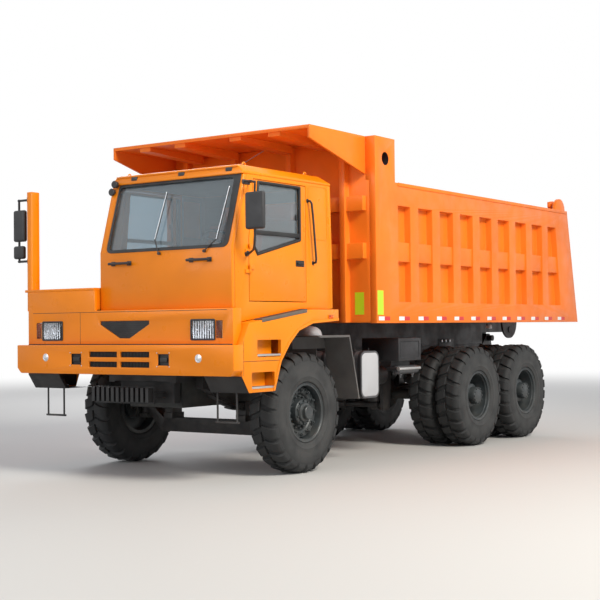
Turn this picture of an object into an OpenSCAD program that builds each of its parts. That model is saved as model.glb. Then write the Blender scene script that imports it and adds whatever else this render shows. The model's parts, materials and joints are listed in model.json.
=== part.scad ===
// Mining dump truck with a half cab set to its left and an open-topped dump bed
// with a canopy over the cab. X runs to the truck's left, Y to its rear and Z up,
// and the origin is on the ground under the middle of the truck. Millimetres.

/* [Truck] */
// Length from the bumper's face to the tailgate
truck_len = 8750; // [8700:10:8900]
// From the bumper's face back to the front axle
front_overhang = 1560; // [1540:5:1580]
// From the front axle to the first rear axle
wheelbase = 3900; // [3850:10:4000]
// Between the two rear axles
tandem = 1500; // [1480:10:1540]

/* [Wheels] */
// Outside diameter of a tyre, to the tips of its lugs
tyre_od = 1370; // [1330:5:1390]
// Width of a tyre
tyre_w = 365; // [340:5:380]
// Diameter of the rim's seat
rim_od = 640; // [600:5:680]
// Between the middles of the two front tyres
front_track = 2530; // [2500:10:2580]
// Between the middles of the two rear wheel pairs
rear_track = 2440; // [2420:10:2460]
// Between the middles of two twin tyres
twin_pitch = 420; // [400:5:440]
// Number of lugs round each shoulder of a tyre
lug_n = 24; // [16:1:28]
// Depth of the grooves between lugs
lug_h = 34; // [20:1:40]

/* [Chassis] */
// Height of the top of the frame rails
frame_top = 1350; // [1330:5:1360]
// Height of a frame rail's section
rail_h = 300; // [240:10:320]
// Width of a frame rail's flange
rail_w = 90; // [80:5:100]
// Thickness of a frame rail's web and flanges
rail_t = 14; // [8:1:20]
// Between the outer faces of the two rails
frame_w = 1010; // [1000:5:1020]
// Width of the leaf springs
leaf_w = 100; // [80:5:110]
// Thickness of one spring leaf
leaf_t = 22; // [16:1:26]
// Distance between the two steering pins
kingpin_gap = 2000; // [1980:5:2010]
// Radius of a steering pin
kingpin_r = 30; // [26:1:34]
// Radius of an axle's spindle
spindle_r = 55; // [50:1:60]
// Clearance round every pin and spindle
pin_gap = 0.6; // [0.4:0.1:1]

/* [Front] */
// Width of the bumper
bumper_w = 3230; // [3180:10:3260]
// Height of the bumper's lower edge
bumper_z = 1150; // [1130:5:1170]
// Height of the bumper's face
bumper_h = 325; // [300:5:330]
// Set-back of the front panel from the bumper's face
panel_back = 100; // [80:5:120]
// Thickness of the front panel
panel_t = 40; // [20:5:50]
// Height of the deck beside the cab
deck_z = 2120; // [2080:5:2160]
// Width of a headlamp
lamp_w = 320; // [280:5:330]
// Height of a headlamp
lamp_h = 210; // [180:5:220]

/* [Cab] */
// Outer face of the cab on the left
cab_left = 1450; // [1430:5:1480]
// Width of the cab
cab_w = 1900; // [1860:10:1940]
// Height of the cab floor's underside
cab_z = 1860; // [1850:5:1880]
// Height of the roof
cab_top = 3400; // [3380:5:3430]
// Thickness of the cab's walls and doors
cab_t = 50; // [40:2:60]
// Height of the windscreen's lower edge
screen_z = 2510; // [2480:5:2540]
// Thickness of the glass
glass_t = 8; // [5:1:12]
// Gap round a door
door_gap = 8; // [6:1:12]

/* [Bed] */
// Outside width of the bed
bed_w = 3320; // [3280:10:3360]
// Height of the bed's lower edge
bed_z = 1690; // [1680:5:1710]
// Height of the top of the side walls
bed_top = 3420; // [3390:5:3450]
// Height of the canopy
canopy_z = 3950; // [3920:5:3980]
// Width of the canopy
canopy_w = 3040; // [3000:10:3080]
// Depth of the ribs that stand out of the side walls
rib_d = 90; // [60:5:110]
// Number of ribs along a side wall
rib_n = 8; // [6:1:9]
// From the last bearer under the floor back to the tailgate's foot
last_rib = 640; // [600:10:700]
// Width of a rib
rib_w = 200; // [160:5:220]
// Thickness of the bed's plates
plate_t = 30; // [20:2:36]
// Radius of the hole in each lifting plate
lift_r = 80; // [70:2:90]
// Gap round the tailgate
gate_gap = 15; // [10:1:20]

/* [Hoist] */
// Between the middles of the two hoist cylinders
hoist_gap = 540; // [530:2:560]
// Outer radius of a hoist barrel
barrel_r = 105; // [100:1:108]
// Wall of the barrel and of each hoist tube
tube_wall = 12; // [10:1:13]

/* [Hidden] */
$fn = 48;

// Axle places along the truck, and the wheels' height
bumper_y = -truck_len / 2;
rear_y = truck_len / 2;
front_axle_y = bumper_y + front_overhang;
mid_axle_y = front_axle_y + wheelbase;
rear_axle_y = mid_axle_y + tandem;
trunnion_y = (mid_axle_y + rear_axle_y) / 2;
hub_z = tyre_od / 2;

// Frame rails
rail_out = frame_w / 2;
rail_in = rail_out - rail_w;
rail_z = frame_top - rail_h;
frame_y0 = front_axle_y - 1180;
bed_hinge_y = rear_y - 840;
bed_hinge_z = frame_top + 100;
frame_y1 = bed_hinge_y + 110;
spring_x = rail_out + leaf_w / 2 + 5;
kingpin_x = kingpin_gap / 2;
front_wheel_x = front_track / 2;
rear_wheel_x = rear_track / 2;
axle_tube_r = 75;
axle_seat_z = hub_z + axle_tube_r + 15;

// Cab faces
cab_right = cab_left - cab_w;
cab_y0 = front_axle_y - 1370;
cab_y1 = front_axle_y + 517;
visor_y = front_axle_y - 1120;
roof_y1 = front_axle_y + 435;
door_y0 = front_axle_y - 1080;
door_y1 = front_axle_y - 15;
door_z0 = cab_z + 70;
door_z1 = 3290;
deck_door_z0 = deck_z + 30;
window_y0 = front_axle_y - 925;
window_y1 = front_axle_y - 135;
window_z0 = 2440;
window_z1 = 3220;
wall_in = cab_left - cab_t;

// Bed faces
bed_x = bed_w / 2;
bed_y0 = front_axle_y + 1150;
floor_top = bed_z + 110;
post_y1 = bed_y0 + 460;
rib_y0 = bed_y0 + 920;
rib_pitch = (rear_y - last_rib - rib_y0) / rib_n;
sill_top = bed_z + 10;
gate_top_y = rear_y - 360;
gate_lean = (rear_y - gate_top_y) / (bed_top - bed_z);
gate_hinge_y = rear_y - 600;
gate_hinge_z = bed_top + 100;

// Hoist, from its foot on the frame to its eye under the bed
hoist_x = hoist_gap / 2;
hoist_foot_y = front_axle_y + 3330;
hoist_foot_z = 560;
hoist_eye_y = front_axle_y + 3200;
hoist_eye_z = 1550;
hoist_len = norm([hoist_eye_y - hoist_foot_y, hoist_eye_z - hoist_foot_z]);
hoist_lean = atan2(hoist_foot_y - hoist_eye_y, hoist_eye_z - hoist_foot_z);
hoist_pin_r = 30;
hoist_slot = 60;
slot_r = hoist_pin_r + 2;

// Colours
cab_orange = [0.93, 0.52, 0.08];
bed_orange = [0.95, 0.45, 0.12];
black = [0.08, 0.08, 0.09];
dark_grey = [0.2, 0.21, 0.2];
tyre_black = [0.06, 0.06, 0.06];
silver = [0.75, 0.76, 0.76];

// Block between two corners, given as ranges along X, Y and Z
module block(x, y, z) {
    translate([x[0], y[0], z[0]]) cube([x[1] - x[0], y[1] - y[0], z[1] - z[0]]);
}

// Plate from x0 to x1 whose outline is drawn in Y and Z
module side_plate(x0, x1, outline) {
    translate([x0, 0, 0]) rotate([90, 0, 90]) linear_extrude(x1 - x0) polygon(outline);
}

// Plate from y0 to y1 whose outline is drawn in X and Z
module front_plate(y0, y1, outline) {
    translate([0, y1, 0]) rotate([90, 0, 0]) linear_extrude(y1 - y0) polygon(outline);
}

// Cylinder along X between two values of X
module rod_x(x0, x1, y, z, r) {
    translate([x0, y, z]) rotate([0, 90, 0]) cylinder(r = r, h = x1 - x0);
}

// Cylinder along Y between two values of Y
module rod_y(y0, y1, x, z, r) {
    translate([x, y0, z]) rotate([-90, 0, 0]) cylinder(r = r, h = y1 - y0);
}

// The same shape on both sides of the truck
module both() {
    children();
    mirror([1, 0, 0]) children();
}

// Places its children on the hoist's line, upright from the foot
module on_hoist() {
    translate([0, hoist_foot_y, hoist_foot_z]) rotate([hoist_lean, 0, 0]) children();
}

// Chassis

// Crossmember places, from the front axle
member_y = [-1140, 950, 2450, 3900, 4650, 5400];

// Two rails, each with its brackets and a stub of the bed's hinge shaft outside it
module frame() color(black) both() {
    difference() {
        block([rail_in, rail_out], [frame_y0, frame_y1], [rail_z, frame_top]);
        block([rail_in - 1, rail_out - rail_t], [frame_y0 - 1, frame_y1 + 1],
              [rail_z + rail_t, frame_top - rail_t]);
    }
    hoist_hanger();
    trunnion_bracket();
    bed_hinge_bracket();
    rod_x(rail_out, rail_out + 80, bed_hinge_y, bed_hinge_z, 45);
}

// Crossmembers, the hoist's foot shaft, the bed's hinge shaft and the hitch
module crossmembers() color(black) {
    for (y = member_y)
        block([rail_t - rail_out, rail_out - rail_t],
              [front_axle_y + y - 40, front_axle_y + y + 40],
              [rail_z + rail_t, frame_top - rail_t]);
    rod_x(10 - rail_in, rail_in - 10, hoist_foot_y, hoist_foot_z, 40);
    rod_x(-rail_in, rail_in, bed_hinge_y, bed_hinge_z, 45);
    tow_bracket();
}

module hoist_hanger() {
    side_plate(rail_in - 10, rail_in + 30, [
        [hoist_foot_y - 150, rail_z + 120], [hoist_foot_y - 150, rail_z],
        [hoist_foot_y - 80, hoist_foot_z - 80], [hoist_foot_y + 80, hoist_foot_z - 80],
        [hoist_foot_y + 150, rail_z], [hoist_foot_y + 150, rail_z + 120]]);
}

module trunnion_bracket() {
    side_plate(rail_out, rail_out + 40, [
        [trunnion_y - 260, frame_top - 40], [trunnion_y - 260, rail_z + 40],
        [trunnion_y - 110, trunnion_z - 100], [trunnion_y + 110, trunnion_z - 100],
        [trunnion_y + 260, rail_z + 40], [trunnion_y + 260, frame_top - 40]]);
}

module bed_hinge_bracket() {
    side_plate(rail_in, rail_out, [
        [bed_hinge_y - 200, frame_top], [bed_hinge_y - 70, bed_hinge_z + 45],
        [bed_hinge_y - 45, bed_hinge_z + 70], [bed_hinge_y + 45, bed_hinge_z + 70],
        [bed_hinge_y + 70, bed_hinge_z + 45], [frame_y1, frame_top]]);
}

// Rear crossmember with a hitch: two plates with an upright hole for a drawbar pin
hitch_r = 25;
hitch_out = 110;
hitch_z = rail_z + 60;
module tow_bracket() {
    block([rail_t - rail_out, rail_out - rail_t], [frame_y1 - 60, frame_y1],
          [rail_z + rail_t, frame_top - rail_t]);
    block([20 - rail_in, rail_in - 20], [frame_y1 - 60, frame_y1], [rail_z - 60, rail_z + 100]);
    difference() {
        for (z = [hitch_z, hitch_z + 90])
            block([-90, 90], [frame_y1, frame_y1 + hitch_out + 60], [z, z + 30]);
        translate([0, frame_y1 + hitch_out, hitch_z - 1]) cylinder(r = hitch_r, h = 122);
    }
}

trunnion_z = 860;
pack_z = trunnion_z + 75;

module springs() color(black) both() {
    front_spring();
    rear_spring();
}

// Leaves of a front spring, longest on top: half length and drop below the eyes
module front_spring() {
    seat_z = hub_z - 55;
    for (i = [0 : 3])
        side_plate(spring_x - leaf_w / 2, spring_x + leaf_w / 2,
                   leaf_outline(front_axle_y, seat_z + 120 - leaf_t * i, 800 - 150 * i, 230));
    block([spring_x - leaf_w / 2 - 4, spring_x + leaf_w / 2 + 10],
          [front_axle_y - 90, front_axle_y + 90], [seat_z, seat_z + 120 + leaf_t + 20]);
    for (y = [-800, 800])
        block([rail_out, spring_x + leaf_w / 2 + 5],
              [front_axle_y + y - 50, front_axle_y + y + 50],
              [seat_z + 110 + spring_rise(800, 230), rail_z + 200]);
}

// Rise of a leaf at a distance from its middle, for a full rise at 800
function spring_rise(y, rise) = rise * y * y / 640000;

// Outline of a curved leaf about its middle, with a thin gap above it
leaf_gap = 3;
function leaf_outline(mid, z, half, rise) = concat(
    [for (i = [-4 : 4]) [mid + half * i / 4, z + spring_rise(half * i / 4, rise)]],
    [for (i = [4 : -1 : -4])
        [mid + half * i / 4, z + leaf_t - leaf_gap + spring_rise(half * i / 4, rise)]]);

module rear_spring() {
    x0 = rail_out + 40;
    x1 = x0 + leaf_w;
    for (i = [0 : 4])
        side_plate(x0, x1, leaf_outline(trunnion_y, pack_z + leaf_t * i, 400 + 90 * i, -40));
    block([x0, x1 + 10], [trunnion_y - 90, trunnion_y + 90],
          [trunnion_z - 90, pack_z + 5 * leaf_t + 20]);
    for (y = [mid_axle_y, rear_axle_y])
        block([x0, x1], [y - 60, y + 60], [axle_seat_z, pack_z + 4 * leaf_t - 20]);
}

// Dropped beam between the steering pins, with a pad for each spring
beam_end = kingpin_x - 105;
module front_axle() color(black) difference() {
    union() {
        front_plate(front_axle_y - 60, front_axle_y + 60, [
            [-kingpin_x, hub_z - 70], [-beam_end, hub_z - 70], [-720, 400], [720, 400],
            [beam_end, hub_z - 70], [kingpin_x, hub_z - 70], [kingpin_x, hub_z + 70],
            [beam_end, hub_z + 70], [680, 570], [-680, 570], [-beam_end, hub_z + 70],
            [-kingpin_x, hub_z + 70]]);
        both() translate([kingpin_x, front_axle_y, hub_z - 75]) cylinder(r = 62, h = 150);
        both() block([spring_x - 70, spring_x + 70],
                     [front_axle_y - 110, front_axle_y + 110], [560, hub_z - 55]);
    }
    both() translate([kingpin_x, front_axle_y, hub_z - 120])
        cylinder(r = kingpin_r + pin_gap, h = 240);
}

// Steering knuckle: a fork on the steering pin, its wheel spindle and its steering arm
knuckle_out = kingpin_x + 78;
front_spindle_x = front_wheel_x + tyre_w / 2 - 30;
arm_y = 230;
arm_z = hub_z - 130;
ball_r = 14;
module knuckle() color(dark_grey) {
    translate([kingpin_x, front_axle_y, arm_z])
        cylinder(r = kingpin_r, h = 260);
    for (z = [hub_z - 130, hub_z + 80])
        block([kingpin_x - 55, knuckle_out], [front_axle_y - 55, front_axle_y + 55], [z, z + 50]);
    block([knuckle_out - 8, knuckle_out + 30], [front_axle_y - 85, front_axle_y + 85],
          [hub_z - 130, hub_z + 130]);
    rod_x(knuckle_out + 30, front_spindle_x, front_axle_y, hub_z, spindle_r);
    block([kingpin_x - 35, kingpin_x + 35], [front_axle_y + 55, front_axle_y + arm_y + 35],
          [arm_z, arm_z + 40]);
    translate([kingpin_x, front_axle_y + arm_y, arm_z - 60]) cylinder(r = ball_r, h = 70);
}

module tie_rod() color(dark_grey) difference() {
    union() {
        rod_x(-kingpin_x + 30, kingpin_x - 30, front_axle_y + arm_y, arm_z - 30, 22);
        both() translate([kingpin_x, front_axle_y + arm_y, arm_z - 55]) cylinder(r = 36, h = 50);
    }
    both() translate([kingpin_x, front_axle_y + arm_y, arm_z - 60])
        cylinder(r = ball_r + pin_gap, h = 70);
}

module rear_axles() color(dark_grey) for (y = [mid_axle_y, rear_axle_y]) {
    reach = rear_wheel_x + twin_pitch / 2 + tyre_w / 2 - 60;
    inner = rear_wheel_x - twin_pitch / 2 - tyre_w / 2;
    rod_x(-inner, inner, y, hub_z, axle_tube_r);
    both() rod_x(inner, reach, y, hub_z, spindle_r);
    // Seat for a spring's end
    both() block([rail_out + 30, rail_out + 150], [y - 70, y + 70], [hub_z, axle_seat_z]);
    rod_y(y - 110, y + 110, 0, hub_z, 230);
    rod_y(y + 110, y + 190, 0, hub_z, 160);
    rod_y(y - 330, y - 110, 0, hub_z + 60, 95);
}

// Engine behind the radiator, gearbox behind it, and the shafts to the rear axles
engine_y0 = front_axle_y - 950;
engine_y1 = front_axle_y + 600;
module engine() color(dark_grey) {
    block([-390, 390], [engine_y0, engine_y1], [760, 1780]);
    // Mounts on the rails
    for (y = [engine_y0 + 150, engine_y1 - 150])
        block([-rail_in, rail_in], [y - 50, y + 50], [frame_top - 80, frame_top]);
}

gearbox_z = 915;
module driveline() color(dark_grey) {
    block([-190, 190], [engine_y1, engine_y1 + 280], [760, 1300]);
    rod_y(engine_y1 + 280, engine_y1 + 760, 0, gearbox_z, 140);
    slanted_shaft(engine_y1 + 760, gearbox_z, mid_axle_y - 330, hub_z + 60);
    slanted_shaft(mid_axle_y + 190, hub_z, rear_axle_y - 330, hub_z + 60);
}

// Shaft between two points on the truck's middle plane, with upright ends
module slanted_shaft(y0, z0, y1, z1) intersection() {
    translate([0, y0, z0]) rotate([-90 + atan2(z1 - z0, y1 - y0), 0, 0])
        translate([0, 0, -30]) cylinder(r = 48, h = norm([y1 - y0, z1 - z0]) + 60);
    block([-60, 60], [y0, y1], [0, frame_top]);
}

// Radiator between the rails, and the finned oil cooler under the bumper
radiator_y = front_axle_y - 1095;
cooler_y = front_axle_y - 1395;
fin_n = 12;
module radiator() color(black) {
    block([10 - rail_in, rail_in - 10], [radiator_y, radiator_y + 95], [820, 1800]);
    block([-rail_in, rail_in], [radiator_y + 20, radiator_y + 75], [frame_top - 60, frame_top]);
    block([-580, 310], [cooler_y + 70, cooler_y + 85], [820, 1010]);
    for (i = [0 : fin_n - 1]) block([-570 + i * 74, -527 + i * 74], [cooler_y, cooler_y + 70],
        [840, 1000]);
    for (x = [-380, 240]) block([x, x + 40], [cooler_y + 85, radiator_y + 10], [880, 940]);
}

// Front

bumper_back = bumper_y + 160;
module bumper() color(cab_orange) difference() {
    front_plate(bumper_y, bumper_back, [
        [-bumper_w / 2, bumper_z + 60], [-bumper_w / 2 + 60, bumper_z],
        [bumper_w / 2 - 60, bumper_z], [bumper_w / 2, bumper_z + 60],
        [bumper_w / 2, bumper_z + bumper_h], [-bumper_w / 2, bumper_z + bumper_h]]);
    block([60 - bumper_w / 2, bumper_w / 2 - 60], [bumper_y + 30, bumper_back + 1],
          [bumper_z + 30, bumper_z + bumper_h - 30]);
    // Two rows of cooling slots each side of the middle
    both() for (z = [80, 190])
        block([26, 450], [bumper_y - 1, bumper_y + 31], [bumper_z + z, bumper_z + z + 62]);
    both() block([575, 730], [bumper_y - 1, bumper_y + 31], [bumper_z + 105, bumper_z + 228]);
}

panel_y = bumper_y + panel_back;
panel_x = bumper_w / 2 - 85;
lamp_x = bumper_w / 2 - 650;
lamp_z = 1530;
signal_x = lamp_x + lamp_w + 15;
signal_w = 90;
module front_panel() color(cab_orange) difference() {
    union() {
        front_plate(panel_y, panel_y + panel_t, [
            [-panel_x, bumper_z + bumper_h], [panel_x, bumper_z + bumper_h], [panel_x, cab_z],
            [cab_right, cab_z], [cab_right, deck_z - 30], [-panel_x, deck_z - 30]]);
        // Flange under the cab
        block([cab_right, panel_x], [panel_y + panel_t, cab_y0 + cab_t], [cab_z - 30, cab_z]);
        // Returns at both ends, back over the step units
        both() side_plate(panel_x - 40, panel_x, place_y([
            [-1420, 1480], [-1420, 1830], [-1320, 1830], [-1320, 1635], [-1405, 1480]]));
    }
    both() block([lamp_x, lamp_x + lamp_w], [panel_y - 1, panel_y + panel_t + 1],
                 [lamp_z, lamp_z + lamp_h]);
    both() block([signal_x, signal_x + signal_w], [panel_y - 1, panel_y + panel_t + 1],
                 [lamp_z + 15, lamp_z + lamp_h - 10]);
    front_plate(panel_y - 1, panel_y + 15, [
        [-367, 1742], [-367, 1700], [-75, 1546], [75, 1546], [367, 1700], [367, 1742]]);
}

module lamps() color([0.85, 0.85, 0.8]) both() {
    block([lamp_x, lamp_x + lamp_w], [panel_y - 8, panel_y + panel_t],
          [lamp_z, lamp_z + lamp_h]);
    block([signal_x, signal_x + signal_w], [panel_y - 6, panel_y + panel_t],
          [lamp_z + 15, lamp_z + lamp_h - 10]);
    // Tail lamp on a bracket at the frame's end
    block([rail_out, rail_out + 60], [frame_y1 - 40, frame_y1], [rail_z + 60, rail_z + 180]);
    block([rail_out, rail_out + 260], [frame_y1, frame_y1 + 50], [rail_z + 40, rail_z + 200]);
}

// Step unit and wheel arch at each front corner
fender_out = bumper_w / 2 - 15;
fender_in = 1090;
fender_t = 40;
// Outline in Y from the front axle and Z: front and foot, then the arch back to the tail
fender_outline = [
    [-1400, 1475], [-1400, 1130], [-1290, 970], [-840, 970], [-720, 1280], [-555, 1470],
    [-380, 1610], [-110, 1690], [410, 1720], [410, 1850], [-130, 1850], [-1280, 1700],
    [-1400, 1475]];
// Step openings: Y range from the front axle, and Z range
step_openings = [[-1140, -720, 1350, 1520], [-1240, -840, 1010, 1180]];
step_depth = 220;
module fenders() color(cab_orange) both() {
    difference() {
        side_plate(fender_in, fender_out, place_y(fender_outline));
        side_plate(fender_in - 1, fender_out - fender_t,
                   place_y([[-1360, 1440], [-1360, 1150], [-1270, 1010], [-870, 1010],
                            [-755, 1300], [-585, 1500], [-400, 1650], [-120, 1730],
                            [300, 1760], [300, 1810], [-135, 1810], [-1250, 1665]]));
        // Two step openings, one above the other
        for (step = step_openings)
            block([fender_out - step_depth, fender_out + 1],
                  [front_axle_y + step[0], front_axle_y + step[1]], [step[2], step[3]]);
        // Room inside the lower half for the tyre
        block([fender_in - 1, fender_out - step_depth],
              [front_axle_y - 1240, front_axle_y - 600], [960, 1350]);
    }
    // A tread and a back wall in each opening
    for (step = step_openings) {
        block([fender_out - step_depth, fender_out - 10],
              [front_axle_y + step[0] + 2, front_axle_y + step[1] - 2],
              [step[2] - 20, step[2] + 12]);
        block([fender_out - step_depth, fender_out - step_depth + 15],
              [front_axle_y + step[0] + 2, front_axle_y + step[1] - 2],
              [step[2], step[3] + 20]);
    }
}

// An outline drawn from the front axle, moved to its place along the truck
function place_y(outline) = [for (p = outline) [p[0] + front_axle_y, p[1]]];

// Deck beside the cab, its skirts, a leg down to the frame, and the mirror post
deck_y1 = front_axle_y + 1000;
deck_x0 = 25 - bumper_w / 2;
deck_t = 30;
skirt_h = 250;
module deck() color(cab_orange) {
    difference() {
        block([deck_x0, cab_right - 10], [panel_y, deck_y1], [deck_z - skirt_h, deck_z]);
        block([deck_x0 + deck_t, cab_right - 10 - deck_t],
              [panel_y + panel_t, deck_y1 - deck_t], [deck_z - skirt_h - 1, deck_z - deck_t]);
        block([deck_x0 - 1, cab_right - 5], [panel_y - 1, panel_y + panel_t],
              [deck_z - skirt_h - 1, deck_z - deck_t]);
    }
    block([deck_x0, deck_x0 + 80], [panel_y + panel_t, panel_y + panel_t + 125],
          [deck_z, 3280]);
    deck_leg([cab_right - 65, cab_right - 10], [deck_y1 - 110, deck_y1 - 50]);
}

// Leg under the deck's inner edge, with a foot across the frame rail
module deck_leg(x, y) {
    block(x, y, [frame_top, deck_z - deck_t]);
    block([min(x[0], -rail_out), max(x[1], -rail_in - 5)], y, [frame_top, frame_top + 60]);
}

// Cab

module cab_floor() color(dark_grey) {
    block([cab_right, wall_in], [cab_y0 + cab_t, cab_y1 - cab_t], [cab_z, cab_z + 60]);
    cab_legs();
}

// Legs on the frame rails, and a bearer across each pair under the floor
module cab_legs() for (y = [front_axle_y - 900, front_axle_y + 350]) {
    both() block([rail_in + 5, rail_out - 5], [y - 60, y + 60], [frame_top, cab_z]);
    block([min(cab_right, 5 - rail_out), rail_out - 5], [y - 60, y + 60], [cab_z - 60, cab_z]);
}

// Slope of the windscreen, from its lower edge to the visor
screen_lean = (visor_y - cab_y0) / (cab_top - screen_z);
function screen_y(z) = cab_y0 + max(0, z - screen_z) * screen_lean;
screen_top = 3300;
pillar = 110;
module cab_front() color(cab_orange) difference() {
    side_plate(cab_right, cab_left, [
        [cab_y0, cab_z], [cab_y0, screen_z], [screen_y(door_z1), door_z1],
        [screen_y(door_z1) + cab_t, door_z1], [cab_y0 + cab_t, screen_z],
        [cab_y0 + cab_t, cab_z]]);
    block([cab_right + pillar, cab_left - pillar], [cab_y0 - 100, visor_y + 100],
          [screen_z + 10, screen_top - 30]);
}

// Front edge of the side walls, just behind the windscreen frame
function side_front(z) = screen_y(z) + cab_t;
module cab_sides() color(cab_orange) {
    cab_side(wall_in, cab_left, door_z0);
    cab_side(cab_right, cab_right + cab_t, deck_door_z0);
    // Skirt below the left door, down to the step unit's top
    side_plate(wall_in, cab_left, [
        [side_front(cab_z), cab_z + 60], [side_front(cab_z), 1708], [front_axle_y - 1275, 1708],
        [front_axle_y - 130, 1858], [cab_y1 - cab_t, 1858], [cab_y1 - cab_t, cab_z + 60]]);
    for (z = hinge_zs) {
        hinge_foot(cab_left, z);
        mirror([1, 0, 0]) hinge_foot(-cab_right, z);
    }
}

// Door hinges: a foot with an upright pin on the cab, and an eye on the door
door_pin_y = door_y0 + door_gap / 2;
door_pin_r = 9;
hinge_r = 16;
hinge_zs = [2230, 2450];
module hinge_foot(x, z) {
    block([x, x + hinge_r], [door_pin_y - 75, door_pin_y], [z, z + 40]);
    translate([x + hinge_r, door_pin_y, z]) {
        cylinder(r = hinge_r, h = 40);
        cylinder(r = door_pin_r, h = 90);
    }
}
module hinge_eye(x, z) difference() {
    union() {
        block([x, x + hinge_r], [door_pin_y, door_pin_y + 80], [z + 41, z + 88]);
        translate([x + hinge_r, door_pin_y, z + 41]) cylinder(r = hinge_r, h = 47);
    }
    translate([x + hinge_r, door_pin_y, z + 40]) cylinder(r = door_pin_r + pin_gap, h = 50);
}

module cab_side(x0, x1, z0) difference() {
    side_plate(x0, x1, [
        [side_front(cab_z), cab_z + 60], [side_front(screen_z), screen_z],
        [side_front(door_z1), door_z1], [door_y1 + 450, door_z1], [cab_y1 - cab_t, 2400],
        [cab_y1 - cab_t, cab_z + 60]]);
    side_plate(x0 - 1, x1 + 1, door_outline(z0, 0));
}

// Door outline, smaller by a gap all round, following the windscreen's slope in front
function door_outline(z0, gap) = [
    [door_y0 + gap, z0 + gap], [door_y0 + gap, screen_z + 90],
    [door_y0 + 90 + gap, door_z1 - 40 - gap], [door_y1 - gap, door_z1 - 40 - gap],
    [door_y1 - gap, z0 + gap]];
window_outline = [
    [window_y0, window_z0], [window_y0 - 60, window_z0 + 90], [window_y0 + 20, window_z1],
    [window_y1, window_z1], [window_y1, window_z0 + 190]];

module door(x0, x1, z0) color(cab_orange) {
    difference() {
        side_plate(x0, x1, door_outline(z0, door_gap));
        side_plate(x0 - 1, x1 + 1, window_outline);
    }
    for (z = hinge_zs) if (x0 > 0) hinge_eye(x1, z); else mirror([1, 0, 0]) hinge_eye(-x0, z);
}

module door_glass(x0) color([0.6, 0.7, 0.72, 0.4])
    side_plate(x0, x0 + glass_t, window_outline);

module cab_back() color(cab_orange) difference() {
    side_plate(cab_right, cab_left, [
        [cab_y1 - cab_t, cab_z], [cab_y1, cab_z], [cab_y1, 2400], [roof_y1 + cab_t, door_z1],
        [roof_y1, door_z1], [cab_y1 - cab_t, 2400]]);
    block([cab_right + 350, cab_left - 350], [roof_y1 - 100, cab_y1 + 1], [2560, 3120]);
}

// Roof: a shell whose side edges are chamfered
module cab_roof() color(cab_orange) difference() {
    intersection() {
        side_plate(cab_right, cab_left, [
            [screen_y(door_z1) - 30, door_z1], [visor_y - 40, cab_top - 30],
            [visor_y, cab_top], [roof_y1 - 60, cab_top], [roof_y1 + cab_t + 20, door_z1 + 20],
            [roof_y1 + cab_t, door_z1]]);
        front_plate(visor_y - 200, roof_y1 + 200, [
            [cab_right, door_z1], [cab_right, door_z1 + 30], [cab_right + 90, cab_top],
            [cab_left - 90, cab_top], [cab_left, door_z1 + 30], [cab_left, door_z1]]);
    }
    block([cab_right + cab_t, wall_in], [screen_y(door_z1) + cab_t, roof_y1 - 30],
          [door_z1 - 1, cab_top - 40]);
}

module cab_glass() color([0.6, 0.7, 0.72, 0.4]) {
    side_plate(cab_right + pillar, cab_left - pillar, [
        [screen_y(screen_z + 10) + 20, screen_z + 10],
        [screen_y(screen_top - 30) + 20, screen_top - 30],
        [screen_y(screen_top - 30) + 20 + glass_t, screen_top - 30],
        [screen_y(screen_z + 10) + 20 + glass_t, screen_z + 10]]);
    block([cab_right + 350, cab_left - 350], [roof_y1 + 18, roof_y1 + 18 + glass_t],
          [2560, 3120]);
}

// Driver's seat on the left and a second seat, each a cushion and a back on a base
seat_z = 2330;
module seats() color([0.35, 0.2, 0.12]) for (x = [950, 130]) {
    block([x - 180, x + 180], [front_axle_y - 330, front_axle_y + 60],
          [cab_z + 60, seat_z - 110]);
    block([x - 250, x + 250], [front_axle_y - 420, front_axle_y + 110], [seat_z - 110, seat_z]);
    side_plate(x - 240, x + 240, [
        [front_axle_y + 20, seat_z], [front_axle_y + 140, seat_z],
        [front_axle_y + 260, seat_z + 620], [front_axle_y + 160, seat_z + 620]]);
}

module dashboard() color(black) {
    side_plate(cab_right + cab_t + 10, wall_in - 10, [
        [cab_y0 + cab_t, 2250], [cab_y0 + cab_t, screen_z - 20], [cab_y0 + 330, screen_z - 30],
        [cab_y0 + 400, 2380], [cab_y0 + 330, 2250]]);
    // Steering column and wheel
    translate([950, cab_y0 + 360, 2440]) rotate([-35, 0, 0]) {
        cylinder(r = 22, h = 190);
        translate([0, 0, 180]) rotate_extrude() translate([215, 0]) circle(r = 16, $fn = 24);
        for (a = [90, 210, 330]) rotate([0, 0, a]) translate([0, -14, 178]) cube([215, 28, 10]);
    }
}

// Mirrors on arms: one at the cab's left corner and two on the deck's post
mirror_x = cab_left + 380;
post_mirror_x = deck_x0 - 240;
arm_r = 14;
left_mirror_y = front_axle_y - 1295;
left_arm_y = front_axle_y - 1130;
module mirrors() color(black) {
    block([mirror_x - 240, mirror_x], [left_mirror_y - 35, left_mirror_y + 35], [2690, 3065]);
    for (z = [2600, 3160]) {
        rod_x(cab_left, mirror_x - 105 + arm_r, left_arm_y, z, arm_r);
        rod_y(left_mirror_y, left_arm_y, mirror_x - 105, z, arm_r);
    }
    translate([mirror_x - 105, left_mirror_y, 2600]) cylinder(r = arm_r, h = 560);
    post_arm_y = panel_y + panel_t + 30;
    x = post_mirror_x;
    block([x, x + 190], [post_arm_y - 35, post_arm_y + 35], [2700, 3075]);
    block([x, x + 170], [post_arm_y - 35, post_arm_y + 35], [2495, 2650]);
    translate([x + 74, post_arm_y, 2450]) cylinder(r = arm_r, h = 755);
    for (z = [2464, 3190]) rod_x(x + 60, deck_x0, post_arm_y, z, arm_r);
}

// Under the deck and the cab

module mudguards() color(black) {
    mudguard_sheets();
    mudguard_brackets();
    both() side_plate(1080, 1092, place_y([[200, 1540], [850, 1540], [895, 1395], [200, 1395]]));
}

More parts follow.
